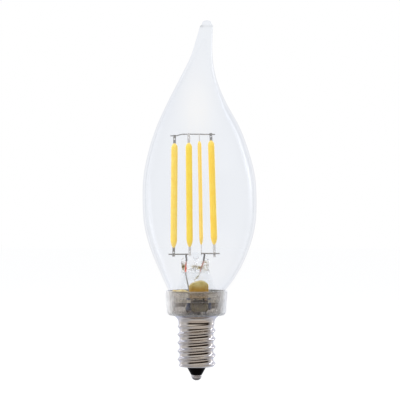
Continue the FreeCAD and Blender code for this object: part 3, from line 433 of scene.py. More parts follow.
def thin_glass(name, face_on, edge_on, face_mirror, edge_mirror, marks=()):
    """Glass that tints and reflects without bending the view, more so towards its edges.

    Each mark is a mesh attribute and the tint that the glass takes where the attribute says so.
    """
    material, tree = bare_material(name)
    edge = maths(tree, "POWER", facing(tree), EDGE_POWER)
    tint = blend(tree, edge, face_on, edge_on)
    for mark, colour in marks:
        tint = blend(tree, attribute(tree, mark), tint, colour)
    clear = add(tree, "BsdfTransparent", Color=tint)
    shine = add(tree, "BsdfGlossy", Roughness=GLASS_ROUGHNESS)
    mirror = ranged(tree, edge, 0.0, 1.0, face_mirror, edge_mirror, smooth=False)
    add(tree, "OutputMaterial", Surface=mix_shader(tree, mirror, clear, shine).outputs[0])
    return material

# %% Thick glass
CHALKY = (shade(235, 235, 235),) * 2
MILKY_EDGE = (0.02, 0.75)
STREAK_SCALE = (1.5 / MM, 1.5 / MM, 0.5 / MM)
CLOUD = 1.2
THIN_SHARE = 0.97
THIN_BLUR = 1.1


def thick_glass(name, tint, roughness, index, haze=(0, 0), milk=CHALKY, solid=(), tape_image_and_specks=None, streaks=0):
    """Glass or clear plastic that bends the view, lets lamps through and may be a little milky.

    The pairs haze and milk are the milky share and its colour, face-on and at the edge. Outside the two
    heights of solid, in millimetres, the wall is thin and the view goes straight through. A last colour is
    painted into the glass where the mesh attribute of the same name says so; on the stem it is a painted
    refraction of the yellow tape. Streaks are shallow upright ripples, which also cloud the milk.
    """
    material, tree = bare_material(name)
    glass = add(tree, "BsdfGlass", Color=tint, Roughness=roughness, IOR=index)
    if tape_image_and_specks:
        feed(tree, glass.inputs["Color"], blend(tree, attribute(tree, "tape_image_and_specks"), tint, tape_image_and_specks))
    edge = ranged(tree, facing(tree), *MILKY_EDGE)
    share = ranged(tree, edge, 0.0, 1.0, *haze, smooth=False)
    if streaks:
        ripple = grains(tree, STREAK_SCALE, 3.0)
        wrinkled(tree, glass.inputs, ripple, streaks, 0.1 * MM)
        share = maths(tree, "SUBTRACT", maths(tree, "MULTIPLY_ADD", ripple, CLOUD, share), CLOUD / 2)
    milky = add(tree, "BsdfDiffuse", Color=blend(tree, edge, *milk))
    body = mix_shader(tree, share, glass, milky)
    straight = add(tree, "LightPath").outputs["Is Shadow Ray"]
    for level, reach in zip(solid, (-THIN_BLUR, THIN_BLUR)):
        ends = (level - reach) * MM, (level + reach) * MM
        thin = ranged(tree, object_axes(tree)["Z"], *ends, 0.0, THIN_SHARE)
        straight = maths(tree, "MAXIMUM", thin, straight)
    clear = add(tree, "BsdfTransparent", Color=tint)
    add(tree, "OutputMaterial", Surface=mix_shader(tree, straight, body, clear).outputs[0])
    return material

# %% Kinds of glass
MELTED = (0.74, 0.75, 0.76, 1)
# The paler tint: a painted highlight in the middle of the upper part, and a paler band near the neck.
HIGHLIGHT_AND_NECK_TINT = (0.966, 0.969, 0.974, 1)
GLASS_FACE = (0.936, 0.949, 0.970, 1)
GLASS_EDGE = (0.95, 0.957, 0.97, 1)
BULB_MARKS = (("melted", MELTED), ("blown_thin", HIGHLIGHT_AND_NECK_TINT))
# The brown of the marks in the pinch, a painted refraction of the yellow tape.
TAPE_IMAGE_BROWN = shade(164, 146, 98)
PINCH = (33.6, 37.2)
COLLAR_MILK = (shade(128, 121, 116), shade(250, 250, 252))
CEMENT_MILK = (shade(198, 191, 177), shade(220, 216, 210))

bulb_glass = thin_glass("bulb_glass", GLASS_FACE, GLASS_EDGE, 0.014, 0.5, BULB_MARKS)
inner_skin = thin_glass("inner_skin", (0.998, 0.998, 0.999, 1), (0.985, 0.987, 0.99, 1), 0.005, 0.25)
stem_glass = thick_glass("stem_glass", (0.986, 0.989, 0.992, 1), 0.0, 1.45, solid=PINCH, tape_image_and_specks=TAPE_IMAGE_BROWN)
tube_glass = thick_glass("tube_glass", (0.985, 0.99, 0.99, 1), 0.0, 1.08)
plastic_tint = (0.89, 0.875, 0.86, 1)
collar_plastic = thick_glass("collar_plastic", plastic_tint, 0.13, 1.3, (0.16, 0.8), COLLAR_MILK, streaks=1.0)
clear_cement = thick_glass("clear_cement", (0.92, 0.91, 0.88, 1), 0.15, 1.18, (0.2, 0.45), CEMENT_MILK)
print("with glass:", len(bpy.data.materials) - 1)

# %% [markdown]
# ## Small tools of mesh code
# Most pieces of a lamp are turned, blown or drawn, so each is a row of rings joined by a skin. A few
# helpers are enough: they join rings, turn a profile round the axis, and run a smooth curve through a
# short table of sizes. Every mesh is made to face outwards.

# %% Rings and skins
def new_piece(name, points, faces, *materials):
    """A mesh object of points and faces that face outwards, shaded smooth."""
    mesh = bpy.data.meshes.new(name)
    mesh.from_pydata([tuple(point) for point in points], [], faces)
    work = bmesh.new()
    work.from_mesh(mesh)
    bmesh.ops.recalc_face_normals(work, faces=work.faces)
    work.to_mesh(mesh)
    work.free()
    mesh.shade_smooth()
    for material in materials:
        mesh.materials.append(material)
    return in_scene(name, mesh)


def skin(rings, first_pole=None, last_pole=None, joined=False):
    """Points and faces of a skin over equal rings, closed at its ends by poles or joined into a loop."""
    count = len(rings[0])
    points = [point for ring in rings for point in ring]
    faces = []
    spans = len(rings) if joined else len(rings) - 1
    for row in range(spans):
        here = row * count
        there = (row + 1) % len(rings) * count
        for column in range(count):
            following = (column + 1) % count
            faces.append((here + column, here + following, there + following, there + column))
    for pole, start in ((first_pole, 0), (last_pole, (len(rings) - 1) * count)):
        if pole is not None:
            points.append(pole)
            for column in range(count):
                faces.append((start + column, start + (column + 1) % count, len(points) - 1))
    return points, faces


def ring(x, z, half_width, half_depth, sides):
    """A level ring of points round x, from sizes in millimetres."""
    around = np.linspace(0, 2 * math.pi, sides, endpoint=False)
    return [((x + half_width * math.cos(a)) * MM, half_depth * math.sin(a) * MM, z * MM) for a in around]


def softened(corners, bevel, joined):
    """A profile with each corner cut to a short arc."""
    soft_profile = []
    last = len(corners) - 1
    for index, corner in enumerate(corners):
        if not joined and index in (0, last):
            soft_profile.append(corner)
            continue
        here = np.array(corner)
        before = np.array(corners[index - 1]) - here
        after = np.array(corners[(index + 1) % len(corners)]) - here
        reach = min(bevel, 0.45 * np.linalg.norm(before), 0.45 * np.linalg.norm(after))
        start = here + before / np.linalg.norm(before) * reach
        end = here + after / np.linalg.norm(after) * reach
        for share in (0, 0.25, 0.5, 0.75, 1):
            arc = (1 - share) ** 2 * start + 2 * share * (1 - share) * here + share**2 * end
            soft_profile.append(tuple(arc))
    return soft_profile


def settled(piece):
    """The piece with its modifiers worked into a plain mesh."""
    bpy.context.view_layer.update()
    graph = bpy.context.evaluated_depsgraph_get()
    mesh = bpy.data.meshes.new_from_object(piece.evaluated_get(graph))
    piece.modifiers.clear()
    piece.data = mesh
    mesh.name = piece.name
    return piece

# %% Turned pieces
def turned(name, corners, material, bevel, sides=96, x=0.0):
    """A turned piece from corners of radius and height, with its axis at x, all in millimetres."""
    joined = corners[0][0] > 0 and corners[-1][0] > 0
    profile = softened(corners, bevel, joined)
    first = last = None
    if profile[0][0] == 0:
        first = (x * MM, 0, profile[0][1] * MM)
        profile = profile[1:]
    if profile[-1][0] == 0:
        last = (x * MM, 0, profile[-1][1] * MM)
        profile = profile[:-1]
    rings = [ring(x, z, radius, radius, sides) for radius, z in profile]
    piece = new_piece(name, *skin(rings, first, last, joined), material)
    weighted = piece.modifiers.new("even_normals", "WEIGHTED_NORMAL")
    weighted.weight = 80
    return settled(piece)

# %% Curves and marks
def through(table, heights):
    """Values at the heights on smooth curves through a table whose first column is the height."""
    table = np.array(table, dtype=float)
    levels = table[:, 0]
    columns = []
    for values in table[:, 1:].T:
        slopes = np.gradient(values, levels)
        spot = np.clip(np.searchsorted(levels, heights, side="right") - 1, 0, len(levels) - 2)
        span = levels[spot + 1] - levels[spot]
        share = (heights - levels[spot]) / span
        columns.append(
            (2 * share**3 - 3 * share**2 + 1) * values[spot]
            + (share**3 - 2 * share**2 + share) * span * slopes[spot]
            + (3 * share**2 - 2 * share**3) * values[spot + 1]
            + (share**3 - share**2) * span * slopes[spot + 1]
        )
    return columns


def bell(offset, reach, power=2):
    """One in the middle, and falling softly to nothing past a reach."""
    return math.exp(-((offset / reach) ** power))


def between(value, start, span):
    """How much of a span a value has passed, from nothing to one."""
    return min(1.0, max(0.0, (value - start) / span))


def squared_off(value, power):
    """A sine or cosine that is pushed outwards, so that its circle turns into a softened square."""
    return math.copysign(abs(value) ** power, value)


def marked(piece, name, values):
    """Give each point of a piece a value that its material reads."""
    piece.data.attributes.new(name, "FLOAT", "POINT").data.foreach_set("value", values)

# %% Show a piece
def show(piece, slot, *nodes):
    """Put a finished piece in place of the solids that it stands for."""
    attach(piece, "root")
    if nodes:
        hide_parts(*nodes)
    triangles = sum(len(face.vertices) - 2 for face in piece.data.polygons)
    print("%-22s %7d triangles" % (piece.name, triangles))

# %% [markdown]
# ## The blown bulb
# A candle bulb is blown in a mould and its tip is drawn out and bent while the glass is soft. Its form
# is round at every level, on a centre line that leans to one side, so a table of level, radius and lean
# says it all. A table with a smooth curve through it keeps the outline to a few honest numbers, where a
# sculpted mesh would wobble in its reflections. The tip ends in the small nub where the glass was cut off.
# The outer skin goes from there down to the neck, and back up inside as the inner skin, so that the wall is
# one closed shell. Two attributes tell the glass where its tint changes: it is darker in the ring that the
# cut melted, and paler in the middle of its upper part, a painted highlight, and near the neck.

# %% Sizes of the bulb
NECK = 26.6
WALL = 0.7
BULB = [
    (0.0, 8.45, 0.0),
    (1.0, 8.7, 0.08),
    (2.2, 9.5, 0.31),
    (7.0, 12.2, 0.85),
    (13.2, 14.95, 1.0),
    (20.6, 17.0, 1.0),
    (28.4, 17.55, 0.95),
    (36.6, 17.1, 0.85),
    (44.0, 15.4, 0.65),
    (51.4, 12.8, 0.45),
    (58.7, 9.15, 0.1),
    (66.1, 5.75, 0.46),
    (73.5, 3.3, 1.65),
    (78.6, 2.5, 2.45),
    (82.5, 2.0, 3.1),
]
TIP = [
    (0.1, 1.96), (0.22, 1.82), (0.34, 1.66), (0.5, 1.55), (0.8, 1.48),
    (1.15, 1.36), (1.4, 1.14), (1.58, 0.8), (1.67, 0.42),
]
TIP_TOP = 1.7
TIP_LEAN = 0.08
HOLLOW_TOP = 78.0
THICK_FROM = 62
THICKER = 1.1
BULB_SIDES = 128
TOP_LEVEL, _, TOP_LEAN = BULB[-1]

# %% Bulb
outer_levels = np.linspace(0, TOP_LEVEL, 150)
inner_levels = np.linspace(0, HOLLOW_TOP, 130)
rings = []
for rise, radius in TIP[::-1]:
    rings.append(ring(TOP_LEAN + TIP_LEAN, NECK + TOP_LEVEL + rise, radius, radius, BULB_SIDES))
for rise, radius, lean in list(zip(outer_levels, *through(BULB, outer_levels)))[::-1]:
    rings.append(ring(lean, NECK + rise, radius, radius, BULB_SIDES))
for rise, radius, lean in zip(inner_levels, *through(BULB, inner_levels)):
    wall = WALL + THICKER * max(0.0, (rise - THICK_FROM) / (HOLLOW_TOP - THICK_FROM)) ** 2
    rings.append(ring(lean, NECK + rise, radius - wall, radius - wall, BULB_SIDES))
tip_pole = ((TOP_LEAN + TIP_LEAN) * MM, 0, (NECK + TOP_LEVEL + TIP_TOP) * MM)
inner_pole = (lean * MM, 0, (NECK + HOLLOW_TOP + 0.5) * MM)
bulb = new_piece("bulb", *skin(rings, tip_pole, inner_pole), bulb_glass, inner_skin)
outer_points = (len(TIP) + len(outer_levels)) * BULB_SIDES
for face in bulb.data.polygons:
    corners = [corner for corner in face.vertices if corner < len(rings) * BULB_SIDES]
    face.material_index = int(min(corners) >= outer_points)

# %% Marks in the glass
CUT_LEVEL = 109.0
PATCH_LEVEL = 84.0
NECK_LEVEL = 35.0

melted = []
blown_thin = []
for vertex in bulb.data.vertices:
    x, _, z = vertex.co / MM
    left_side = 0.5 - 0.5 * math.tanh((x - TOP_LEAN + 1.0) / 0.4)
    melted.append(bell(z - CUT_LEVEL, 0.3) * (0.3 + 0.6 * left_side))
    # Paler in the middle of the upper part, a painted highlight, and paler near the neck.
    blown_thin.append(bell(x, 5.0) * bell(z - PATCH_LEVEL, 10.0) + 0.5 * bell(z - NECK_LEVEL, 7.0))
marked(bulb, "melted", melted)
marked(bulb, "blown_thin", blown_thin)
show(bulb, "clear_glass", "glass_envelope")

# %% [markdown]
# ## The rolled screw cap
# A cap is drawn from thin sheet as a smooth cup, and its round thread is then rolled into the sheet.
# The next cells do the same: the cup is turned with its wall, its pierced end and its flare, and a
# Geometry Nodes tree rolls the thread into it. The tree moves each point in or out by a cosine of its
# angle and its height, raised to a power that leaves the roots broad and the crests narrow. The pitch,
# the depth, the sharpness and the run-out stay named inputs of one modifier.

# %% Cap cup
CAP_BASE = 4.2
THREAD_FOOT = 4.9
CAP_TOP = 20.1
CAP_MEAN = 5.525
CAP_SHEET = 0.3
CAP_HOLE = 2.85
FLARE = 8.3
FLARE_FOOT = 17.8
CAP_CORNER = 0.7
CAP_SIDES = 128

outer_profile = [(CAP_HOLE, CAP_BASE)]
for angle in np.radians(np.linspace(0, 90, 9)):
    reach = CAP_MEAN - CAP_CORNER + CAP_CORNER * math.sin(angle)
    outer_profile.append((reach, CAP_BASE + CAP_CORNER * (1 - math.cos(angle))))
for level in np.linspace(THREAD_FOOT, FLARE_FOOT, 154)[1:]:
    outer_profile.append((CAP_MEAN, level))
for angle in np.radians(np.linspace(0, 90, 18))[1:]:
    reach = CAP_MEAN + (FLARE - CAP_MEAN) * (1 - math.cos(angle))
    outer_profile.append((reach, FLARE_FOOT + (CAP_TOP - FLARE_FOOT) * math.sin(angle)))
outline = np.array(outer_profile)
along = np.gradient(outline, axis=0)
along /= np.linalg.norm(along, axis=1)[:, None]
inward = np.column_stack((-along[:, 1], along[:, 0]))
inner_profile = outline + inward * CAP_SHEET
inner_profile[:, 1] = np.minimum(inner_profile[:, 1], CAP_TOP)
cup_profile = [*outer_profile, *inner_profile[::-1]]
cup_rings = [ring(0, z, radius, radius, CAP_SIDES) for radius, z in cup_profile]
cap = new_piece("screw_cap", *skin(cup_rings, joined=True), nickel_cap)

# %% Tree of the thread
def thread_tree(material):
    """A tree that rolls a right-hand thread into a cup about the Z axis."""
    tree = bpy.data.node_groups.new("roll_thread", "GeometryNodeTree")
    for way in ("INPUT", "OUTPUT"):
        tree.interface.new_socket("Geometry", in_out=way, socket_type="NodeSocketGeometry")
    for name in ("Pitch", "Swing", "Sharpness", "Start", "Foot", "Top", "Run In", "Run Out"):
        tree.interface.new_socket(name, in_out="INPUT", socket_type="NodeSocketFloat")
    inputs = tree.nodes.new("NodeGroupInput").outputs
    outputs = tree.nodes.new("NodeGroupOutput").inputs

    def sums(operation, *values):
        return maths(tree, operation, *values)

    position = tree.nodes.new("GeometryNodeInputPosition").outputs[0]
    x, y, z = add(tree, "SeparateXYZ", Vector=position).outputs
    angle = sums("ARCTAN2", y, x)
    turns = sums("DIVIDE", sums("SUBTRACT", z, inputs["Start"]), inputs["Pitch"])
    wave = sums("COSINE", sums("SUBTRACT", sums("MULTIPLY", turns, 2 * math.pi), angle))
    crest = sums("POWER", sums("MULTIPLY_ADD", wave, 0.5, 0.5), inputs["Sharpness"])
    swing = sums("MULTIPLY", sums("MULTIPLY_ADD", crest, 2.0, -1.0), inputs["Swing"])
    rising = ranged(tree, z, inputs["Foot"], sums("ADD", inputs["Foot"], inputs["Run In"]))
    falling = ranged(tree, z, inputs["Top"], sums("SUBTRACT", inputs["Top"], inputs["Run Out"]))
    amount = sums("MULTIPLY", swing, sums("MULTIPLY", rising, falling))
    reach = sums("SQRT", sums("ADD", sums("MULTIPLY", x, x), sums("MULTIPLY", y, y)))
    step = sums("DIVIDE", amount, reach)
    move = add(tree, "CombineXYZ", X=sums("MULTIPLY", x, step), Y=sums("MULTIPLY", y, step))
    kinds = ("SetPosition", "RealizeInstances", "SetMaterial")
    shift, realize, coat = (tree.nodes.new("GeometryNode" + kind) for kind in kinds)
    coat.inputs["Material"].default_value = material
    link(
        tree,
        (inputs["Geometry"], shift.inputs["Geometry"]),
        (move.outputs[0], shift.inputs["Offset"]),
        (shift.outputs[0], realize.inputs[0]),
        (realize.outputs[0], coat.inputs["Geometry"]),
        (coat.outputs[0], outputs["Geometry"]),
    )
    return tree

# %% Roll the thread
def add_tree(piece, tree, **values):
    """Give a piece a Geometry Nodes modifier with its inputs set by name."""
    modifier = piece.modifiers.new(tree.name, "NODES")
    modifier.node_group = tree
    for item in tree.interface.items_tree:
        key = item.name.lower().replace(" ", "_")
        if item.in_out == "INPUT" and key in values:
            modifier[item.identifier] = values[key]


add_tree(
    cap,
    thread_tree(nickel_cap),
    pitch=2.54 * MM,
    swing=0.33 * MM,
    sharpness=1.9,
    start=5.2 * MM,
    foot=(CAP_BASE + 0.1) * MM,
    top=FLARE_FOOT * MM,
    run_in=0.9 * MM,
    run_out=1.8 * MM,
)
settled(cap)
show(cap, "nickel_cap", "cap_shell")

# %% [markdown]
# ## Insulator and contact
# Black glass is moulded through the hole in the cap's end, and the centre contact is a headed pin in
# it. Both are turned shapes with fire-rounded edges. The pin's head is what touches the socket, so its
# flat end stays where the solid has it.

# %% Insulator and contact
insulator = turned(
    "insulator",
    [(0.72, 1.7), (1.68, 1.7), (3.05, 4.2), (2.83, 4.2), (2.83, 4.5), (4.3, 4.5), (4.3, 6.2), (0.72, 6.2)],
    black_glass,
    0.12,
)
show(insulator, "black_glass", "cap_insulator")
contact = turned(
    "contact",
    [(0, 0), (0.6, 0), (1.25, 0.42), (1.65, 1.15), (1.65, 1.7), (0.7, 1.7), (0.7, 7.4), (0, 7.4)],
    # Painted reflection: the contact's lower end is painted darker, standing in for the dark room that it
    # mirrors.
    tinted_below(bright_tin, 0.8, 0.4, (128, 124, 122)),
    0.15,
)
show(contact, "contact_metal", "centre_contact")

# %% [markdown]
# ## Collar
# The collar is moulded in clear plastic: a neck down into the cap, a floor, a ledge for the board and a
# mouth for the bulb. It is turned from its cross-section with small mould radii, which catch the light
# as the bright lines at its rims.

# %% Collar
COLLAR = [
    (4.05, 14.5),
    (4.75, 14.5),
    (4.75, 20.1),
    (8.4, 20.1),
    (9.1, 20.8),
    (9.55, 27.6),
    (8.9, 27.6),
    (8.9, 24.3),
    (8.0, 24.3),
    (8.0, 21.1),
    (4.05, 21.1),
]
show(turned("clear_collar", COLLAR, collar_plastic, 0.15, 128), "clear_plastic", "collar")

# %% [markdown]
# ## Stem
# The stem is a flared tube whose top was pressed flat, red hot, round the seal wires, with the exhaust
# tube's cup melted into it. Its solids are joined and hollowed with booleans and then remeshed and
# smoothed: the remesh rounds every joint, as the flame did, and the refraction needs such soft forms.
# A slow noise then dents the pinch, because pressed glass is never flat and its dents are what one sees.
# Brownish marks are painted into the glass, a painted refraction of the yellow tape below: one at the left
# and one across the middle, broken by the exhaust channel. A few brownish specks at the right are painted the
# same way.

# %% Solids to join and cut
ROUND_SIDES = 72


def round_solid(name, table):
    """A closed solid over a table of height, half width, half depth and x."""
    rings = [ring(x, z, width, depth, ROUND_SIDES) for z, width, depth, x in table]
    ends = [(table[end][3] * MM, 0, table[end][0] * MM) for end in (0, -1)]
    return new_piece(name, *skin(rings, *ends))


def post(name, foot, top, radius, x):
    """An upright round bar."""
    return round_solid(name, [(z, radius, radius, x) for z in (foot, top)])


def combined(piece, tool, operation):
    """Join or cut a piece with a tool, which is used up."""
    modifier = piece.modifiers.new(operation.lower(), "BOOLEAN")
    modifier.operation = operation
    modifier.solver = "EXACT"
    modifier.object = tool
    settled(piece)
    bpy.data.objects.remove(tool)

# %% Stem
STEM_FOOT = 26.1
STEM = [
    (0.0, 7.9, 7.9, 0.0),
    (0.7, 6.9, 6.9, 0.0),
    (2.2, 5.9, 5.9, 0.0),
    (4.4, 5.3, 5.2, 0.0),
    (6.2, 4.8, 3.2, -0.25),
    (8.0, 4.25, 1.6, -0.4),
    (11.3, 4.1, 1.3, -0.4),
    (12.2, 3.6, 0.9, -0.4),
]
STEM_WALL = 0.7
ROOM_TOP = STEM_FOOT + 7.2
CUP_X = -0.15
PINCH_TOP = 38.3
MOUTH = PINCH_TOP + 1.1

levels = np.linspace(0, STEM[-1][0], 40)
widths, depths, shifts = through(STEM, levels)
outside = list(zip(STEM_FOOT + levels, widths, depths, shifts))
hollow = [(z, w - STEM_WALL, d - STEM_WALL, shift) for z, w, d, shift in outside if z < ROOM_TOP]
hollow[0] = (STEM_FOOT - 0.1, *hollow[0][1:])
stem = round_solid("stem", outside)
combined(stem, post("rim", STEM_FOOT, STEM_FOOT + 0.48, 8.3, 0), "UNION")
combined(stem, post("cup", MOUTH - 3.0, MOUTH, 1.4, CUP_X), "UNION")
combined(stem, round_solid("room", hollow), "DIFFERENCE")
combined(stem, post("cup_room", MOUTH - 2.0, MOUTH + 0.2, 0.95, CUP_X), "DIFFERENCE")
combined(stem, post("channel", 33.0, MOUTH - 1.8, 0.42, CUP_X), "DIFFERENCE")
melt = stem.modifiers.new("melt", "REMESH")
melt.mode = "VOXEL"
melt.voxel_size = 0.16 * MM
ease_off = stem.modifiers.new("ease_off", "SMOOTH")
ease_off.factor = 0.5
ease_off.iterations = 5
settled(stem)

# %% Dents in the pinch
DENT_WAY = Vector((0.25, 1.0, 0.1))

for vertex in stem.data.vertices:
    here = vertex.co / MM
    pressed = between(here.z, 32.0, 1.5) * between(PINCH_TOP - 0.3 - here.z, 0.0, 1.0)
    crazed = between(here.x, 0.8, 1.2)
    dent = 0.3 * noise.noise(here * 0.75) + 0.14 * noise.noise(here * 2.0 + Vector((9, 4, 2)))
    dent += 0.2 * crazed * noise.noise(here * 3.0 + Vector((1, 7, 5)))
    vertex.co += DENT_WAY * dent * pressed * MM

# %% Marks in the pinch
LEFT_MARK = (-4.0, 34.9)
MIDDLE_MARK = (0.3, 34.75)
RIGHT_MARK = (2.7, 35.1)

# The left and middle marks are a painted refraction of the yellow tape below; the specks at the right are
# painted brownish too.
tape_image_shares = []
for vertex in stem.data.vertices:
    here = vertex.co / MM
    x, _, z = here
    left_mark = bell(x - LEFT_MARK[0], 0.5) * bell(z - LEFT_MARK[1], 1.0)
    slant = z - MIDDLE_MARK[1] + 0.12 * (x - 0.8)
    beside = 1 - 0.75 * bell(x - CUP_X, 0.6)
    middle_mark = 0.9 * beside * bell(x - MIDDLE_MARK[0], 1.7, 4) * bell(slant, 0.42)
    specks = 4.2 * max(0.0, noise.noise(here * 2.6 + Vector((3, 8, 1))) - 0.12)
    right_mark = specks * bell(x - RIGHT_MARK[0], 1.2, 4) * bell(z - RIGHT_MARK[1], 1.5, 4)
    patchy = 0.7 + 0.8 * noise.noise(here * 1.6)
    tape_image_shares.append(min(1.0, max(left_mark, middle_mark, right_mark) * 1.3 * patchy))
marked(stem, "tape_image_and_specks", tape_image_shares)
stem.data.shade_smooth()
stem.data.materials.clear()
stem.data.materials.append(stem_glass)
show(stem, "stem_glass", "glass_stem")
tube_profile = [(0, 31.2), (0.95, 31.2), (0.95, 33.2), (0, 33.2)]
show(turned("exhaust_tube", tube_profile, tube_glass, 0.45, 48, CUP_X), "stem_glass")

# %% [markdown]
# ## Filaments
# A filament is a narrow strip of tiny chips under a coat of yellow phosphor in soft silicone, which runs
# out to a rounded point over the metal tabs. The coat is skinned from oval rings that taper at both
# ends. The attribute thin tells the material where the coat runs out, at the sides and the ends, and there
# the silicone shows through and the yellow turns paler.

# %% Phosphor
def phosphor_coat(name, pale, deep):
    """Yellow phosphor, paler where the coat runs thin, with a faint painted glow that makes it brighter than
    its lighting.
    """
    material = finish(name, pale, deep, 0.5, (0.42, 0.55), 0.0, 0.06)
    recoloured(material, attribute(material.node_tree, "thin"), (255, 224, 144))
    # A painted glow: a faint emission that brightens the phosphor.
    principled(material)["Emission Color"].default_value = shade(255, 210, 80)
    principled(material)["Emission Strength"].default_value = 0.22
    return material


light_coat = phosphor_coat("light_phosphor", (255, 226, 118), (255, 219, 100))
lemon_coat = phosphor_coat("lemon_phosphor", (255, 230, 92), (255, 223, 78))
amber_coat = phosphor_coat("amber_phosphor", (255, 220, 98), (253, 212, 80))

# %% Filament strips
STRIP_LENGTH = 32.3
STRIP_WIDTH = 2.0
STRIP_DEPTH = 1.16
FOOT_TAPER = 2.4
HEAD_TAPER = 1.35
FILAMENTS = {
    "first": (light_coat, -7.0, -6.75, -1.0, 2.4, 0),
    "second": (lemon_coat, -2.1, -2.37, 0.3, 2.6, 12),
    "third": (amber_coat, 1.48, 0.9, 0.4, 3.2, 90),
    "fourth": (amber_coat, 5.45, 4.47, -0.8, 3.3, -8),
}
STRIP_SIDES = 32
STRIP_SQUARE = 0.85


def strip(word, coat, foot, head, depth, rise, turn):
    """One coated strip between its foot and its head."""
    rows = []
    thin = []
    turn = math.radians(turn)
    lean = (head - foot) / STRIP_LENGTH
    shares = (1 - np.cos(np.linspace(0.05, math.pi - 0.05, 90))) / 2
    for distance in shares * STRIP_LENGTH:
        fullness = min(1.0, distance / FOOT_TAPER, (STRIP_LENGTH - distance) / HEAD_TAPER)
        swell = math.sqrt(max(0.0, 1 - (1 - fullness) ** 2)) * 0.72 + 0.28 * fullness
        wander = 1 + 0.02 * noise.noise(Vector((foot, distance * 0.4, 7.0)))
        row = []
        for side in range(STRIP_SIDES):
            angle = 2 * math.pi * side / STRIP_SIDES
            across = squared_off(math.cos(angle), STRIP_SQUARE) * STRIP_WIDTH / 2 * swell * wander
            out = squared_off(math.sin(angle), STRIP_SQUARE) * STRIP_DEPTH / 2 * swell
            x = foot + lean * distance + across * math.cos(turn) - out * math.sin(turn)
            y = depth + across * math.sin(turn) + out * math.cos(turn)
            row.append((x * MM, y * MM, (PINCH_TOP + rise + distance) * MM))
            thin.append(min(1.0, max(abs(math.cos(angle)) ** 6 * 0.8, 1 - fullness) ** 1.5))
        rows.append(row)
    ends = [
        ((foot + lean * end) * MM, depth * MM, (PINCH_TOP + rise + end) * MM) for end in (0, STRIP_LENGTH)
    ]
    piece = new_piece(word + "_strip", *skin(rows, *ends), coat)
    marked(piece, "thin", thin + [1.0, 1.0])
    show(piece, "phosphor", word + "_filament")


for word, places in FILAMENTS.items():
    strip(word, *places)

# %% [markdown]
# ## Wires, tabs and the driver
# The wires and the flat tabs were drawn and stamped, and their solids already have the right shape. They only
# need their metals: dull nickel, thin plated steel, tinned copper, and the red of the copper-clad seal wires
# inside the glass. Some tabs and one lead get a paler lit copy of the steel, a painted highlight. The
# driver's board and the parts on it keep their solids too, and get the colours of laminate, ceramic, ferrite,
# lacquer and sleeve.

# %% Board
def board_paint():
    """Pale laminate with a near-black band along the front edge, above the film capacitor."""
    tree = laminate.node_tree
    axes = object_axes(tree)
    across = maths(tree, "COMPARE", axes["X"], 0.9 * MM, 2.6 * MM)
    along = maths(tree, "COMPARE", axes["Y"], -8.0 * MM, 2.0 * MM)
    return recoloured(laminate, maths(tree, "MULTIPLY", across, along), (12, 12, 14))

# %% Dress the solids that stay
def dress(material, *nodes):
    """Give solids that stay a finish of their own."""
    for node in nodes:
        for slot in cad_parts[node].material_slots:
            slot.material = material


dress(nickel_wire, "left_inner_lead", "right_inner_lead")
dress(pale_wire, "left_cross_wire", "right_cross_wire", "bridge_wire", "fourth_upper_tab")
dress(pale_wire, "left_outer_lead")
dress(tinted_below(seal_red, 35.4, 0.5, (238, 112, 92)), "left_seal_wire")
dress(seal_pale, "right_seal_wire")
# Painted highlight: these tabs and the right outer lead take the paler lit copy of the steel.
dress(bright_steel, "right_outer_lead", "fourth_lower_tab")
dress(bright_steel, "second_lower_tab", "second_upper_tab", "third_lower_tab", "third_upper_tab")
dress(thin_steel, "first_lower_tab", "first_upper_tab")
dress(tinned_wire, "smoothing_capacitor_leads", "fuse_upper_lead", "fuse_lower_lead", "shell_wire_strand")
dress(dark_wire, "film_capacitor_leads")
dress(board_paint(), "driver_board")
dress(chip_grey, "driver_chip", "flywheel_diode", "rectifier")
dress(white_ceramic, "sense_resistor")
dress(chip_tan, "chip_capacitor")
dress(olive_dip, "film_capacitor")
dress(can_sleeve, "smoothing_capacitor")
dress(ferrite, "choke_core")
dress(enamelled_copper, "choke_winding")
dress(lacquer, "fusible_resistor")
dress(blue_sleeve, "shell_wire", "line_wire")
print("solids that stay:", len(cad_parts) - 12)

# %% [markdown]
# ## Tape over the choke
# The choke on the board is wrapped in glossy yellow tape, folded over its top in soft crumples. It is skinned
# from rounded rectangles that follow the folded outline, and a slow noise crumples them. Its yellow turns
# more orange towards the bottom, and its foot is painted dark grey-brown, a painted shade where the collar
# and the board shade it.

# %% Tape
TAPE_X, TAPE_Y = 1.03, -0.35
TAPE_BASE = 25.1
TAPE_TOP = [
    (-3.4, 4.1), (-3.0, 4.5), (-2.6, 4.8), (-1.8, 5.1), (-0.9, 5.4),
    (0.0, 5.6), (1.0, 5.55), (1.6, 5.3), (2.2, 4.9), (2.73, 4.3),
]
TAPE_LEFT = -2.95
TAPE_BULGE = 0.42
TAPE_RIGHT = 2.73
TAPE_PEAK = 5.7
TAPE_DEPTH = 2.25
TAPE_SIDES = 96
TAPE_SQUARE = 0.35

tape_finish = finish(
    "yellow_tape", (232, 214, 146), (200, 172, 88), 0.55, (0.22, 0.38), bump=0.4, clear_coat=0.3
)
# Towards the bottom the yellow turns more orange.
tinted_below(tape_finish, 28.8, 1.2, (190, 142, 46))
# Painted shade: the foot of the tape is painted dark grey-brown where the collar and the board shade it.
tinted_below(tape_finish, 27.2, 0.4, (112, 98, 74))


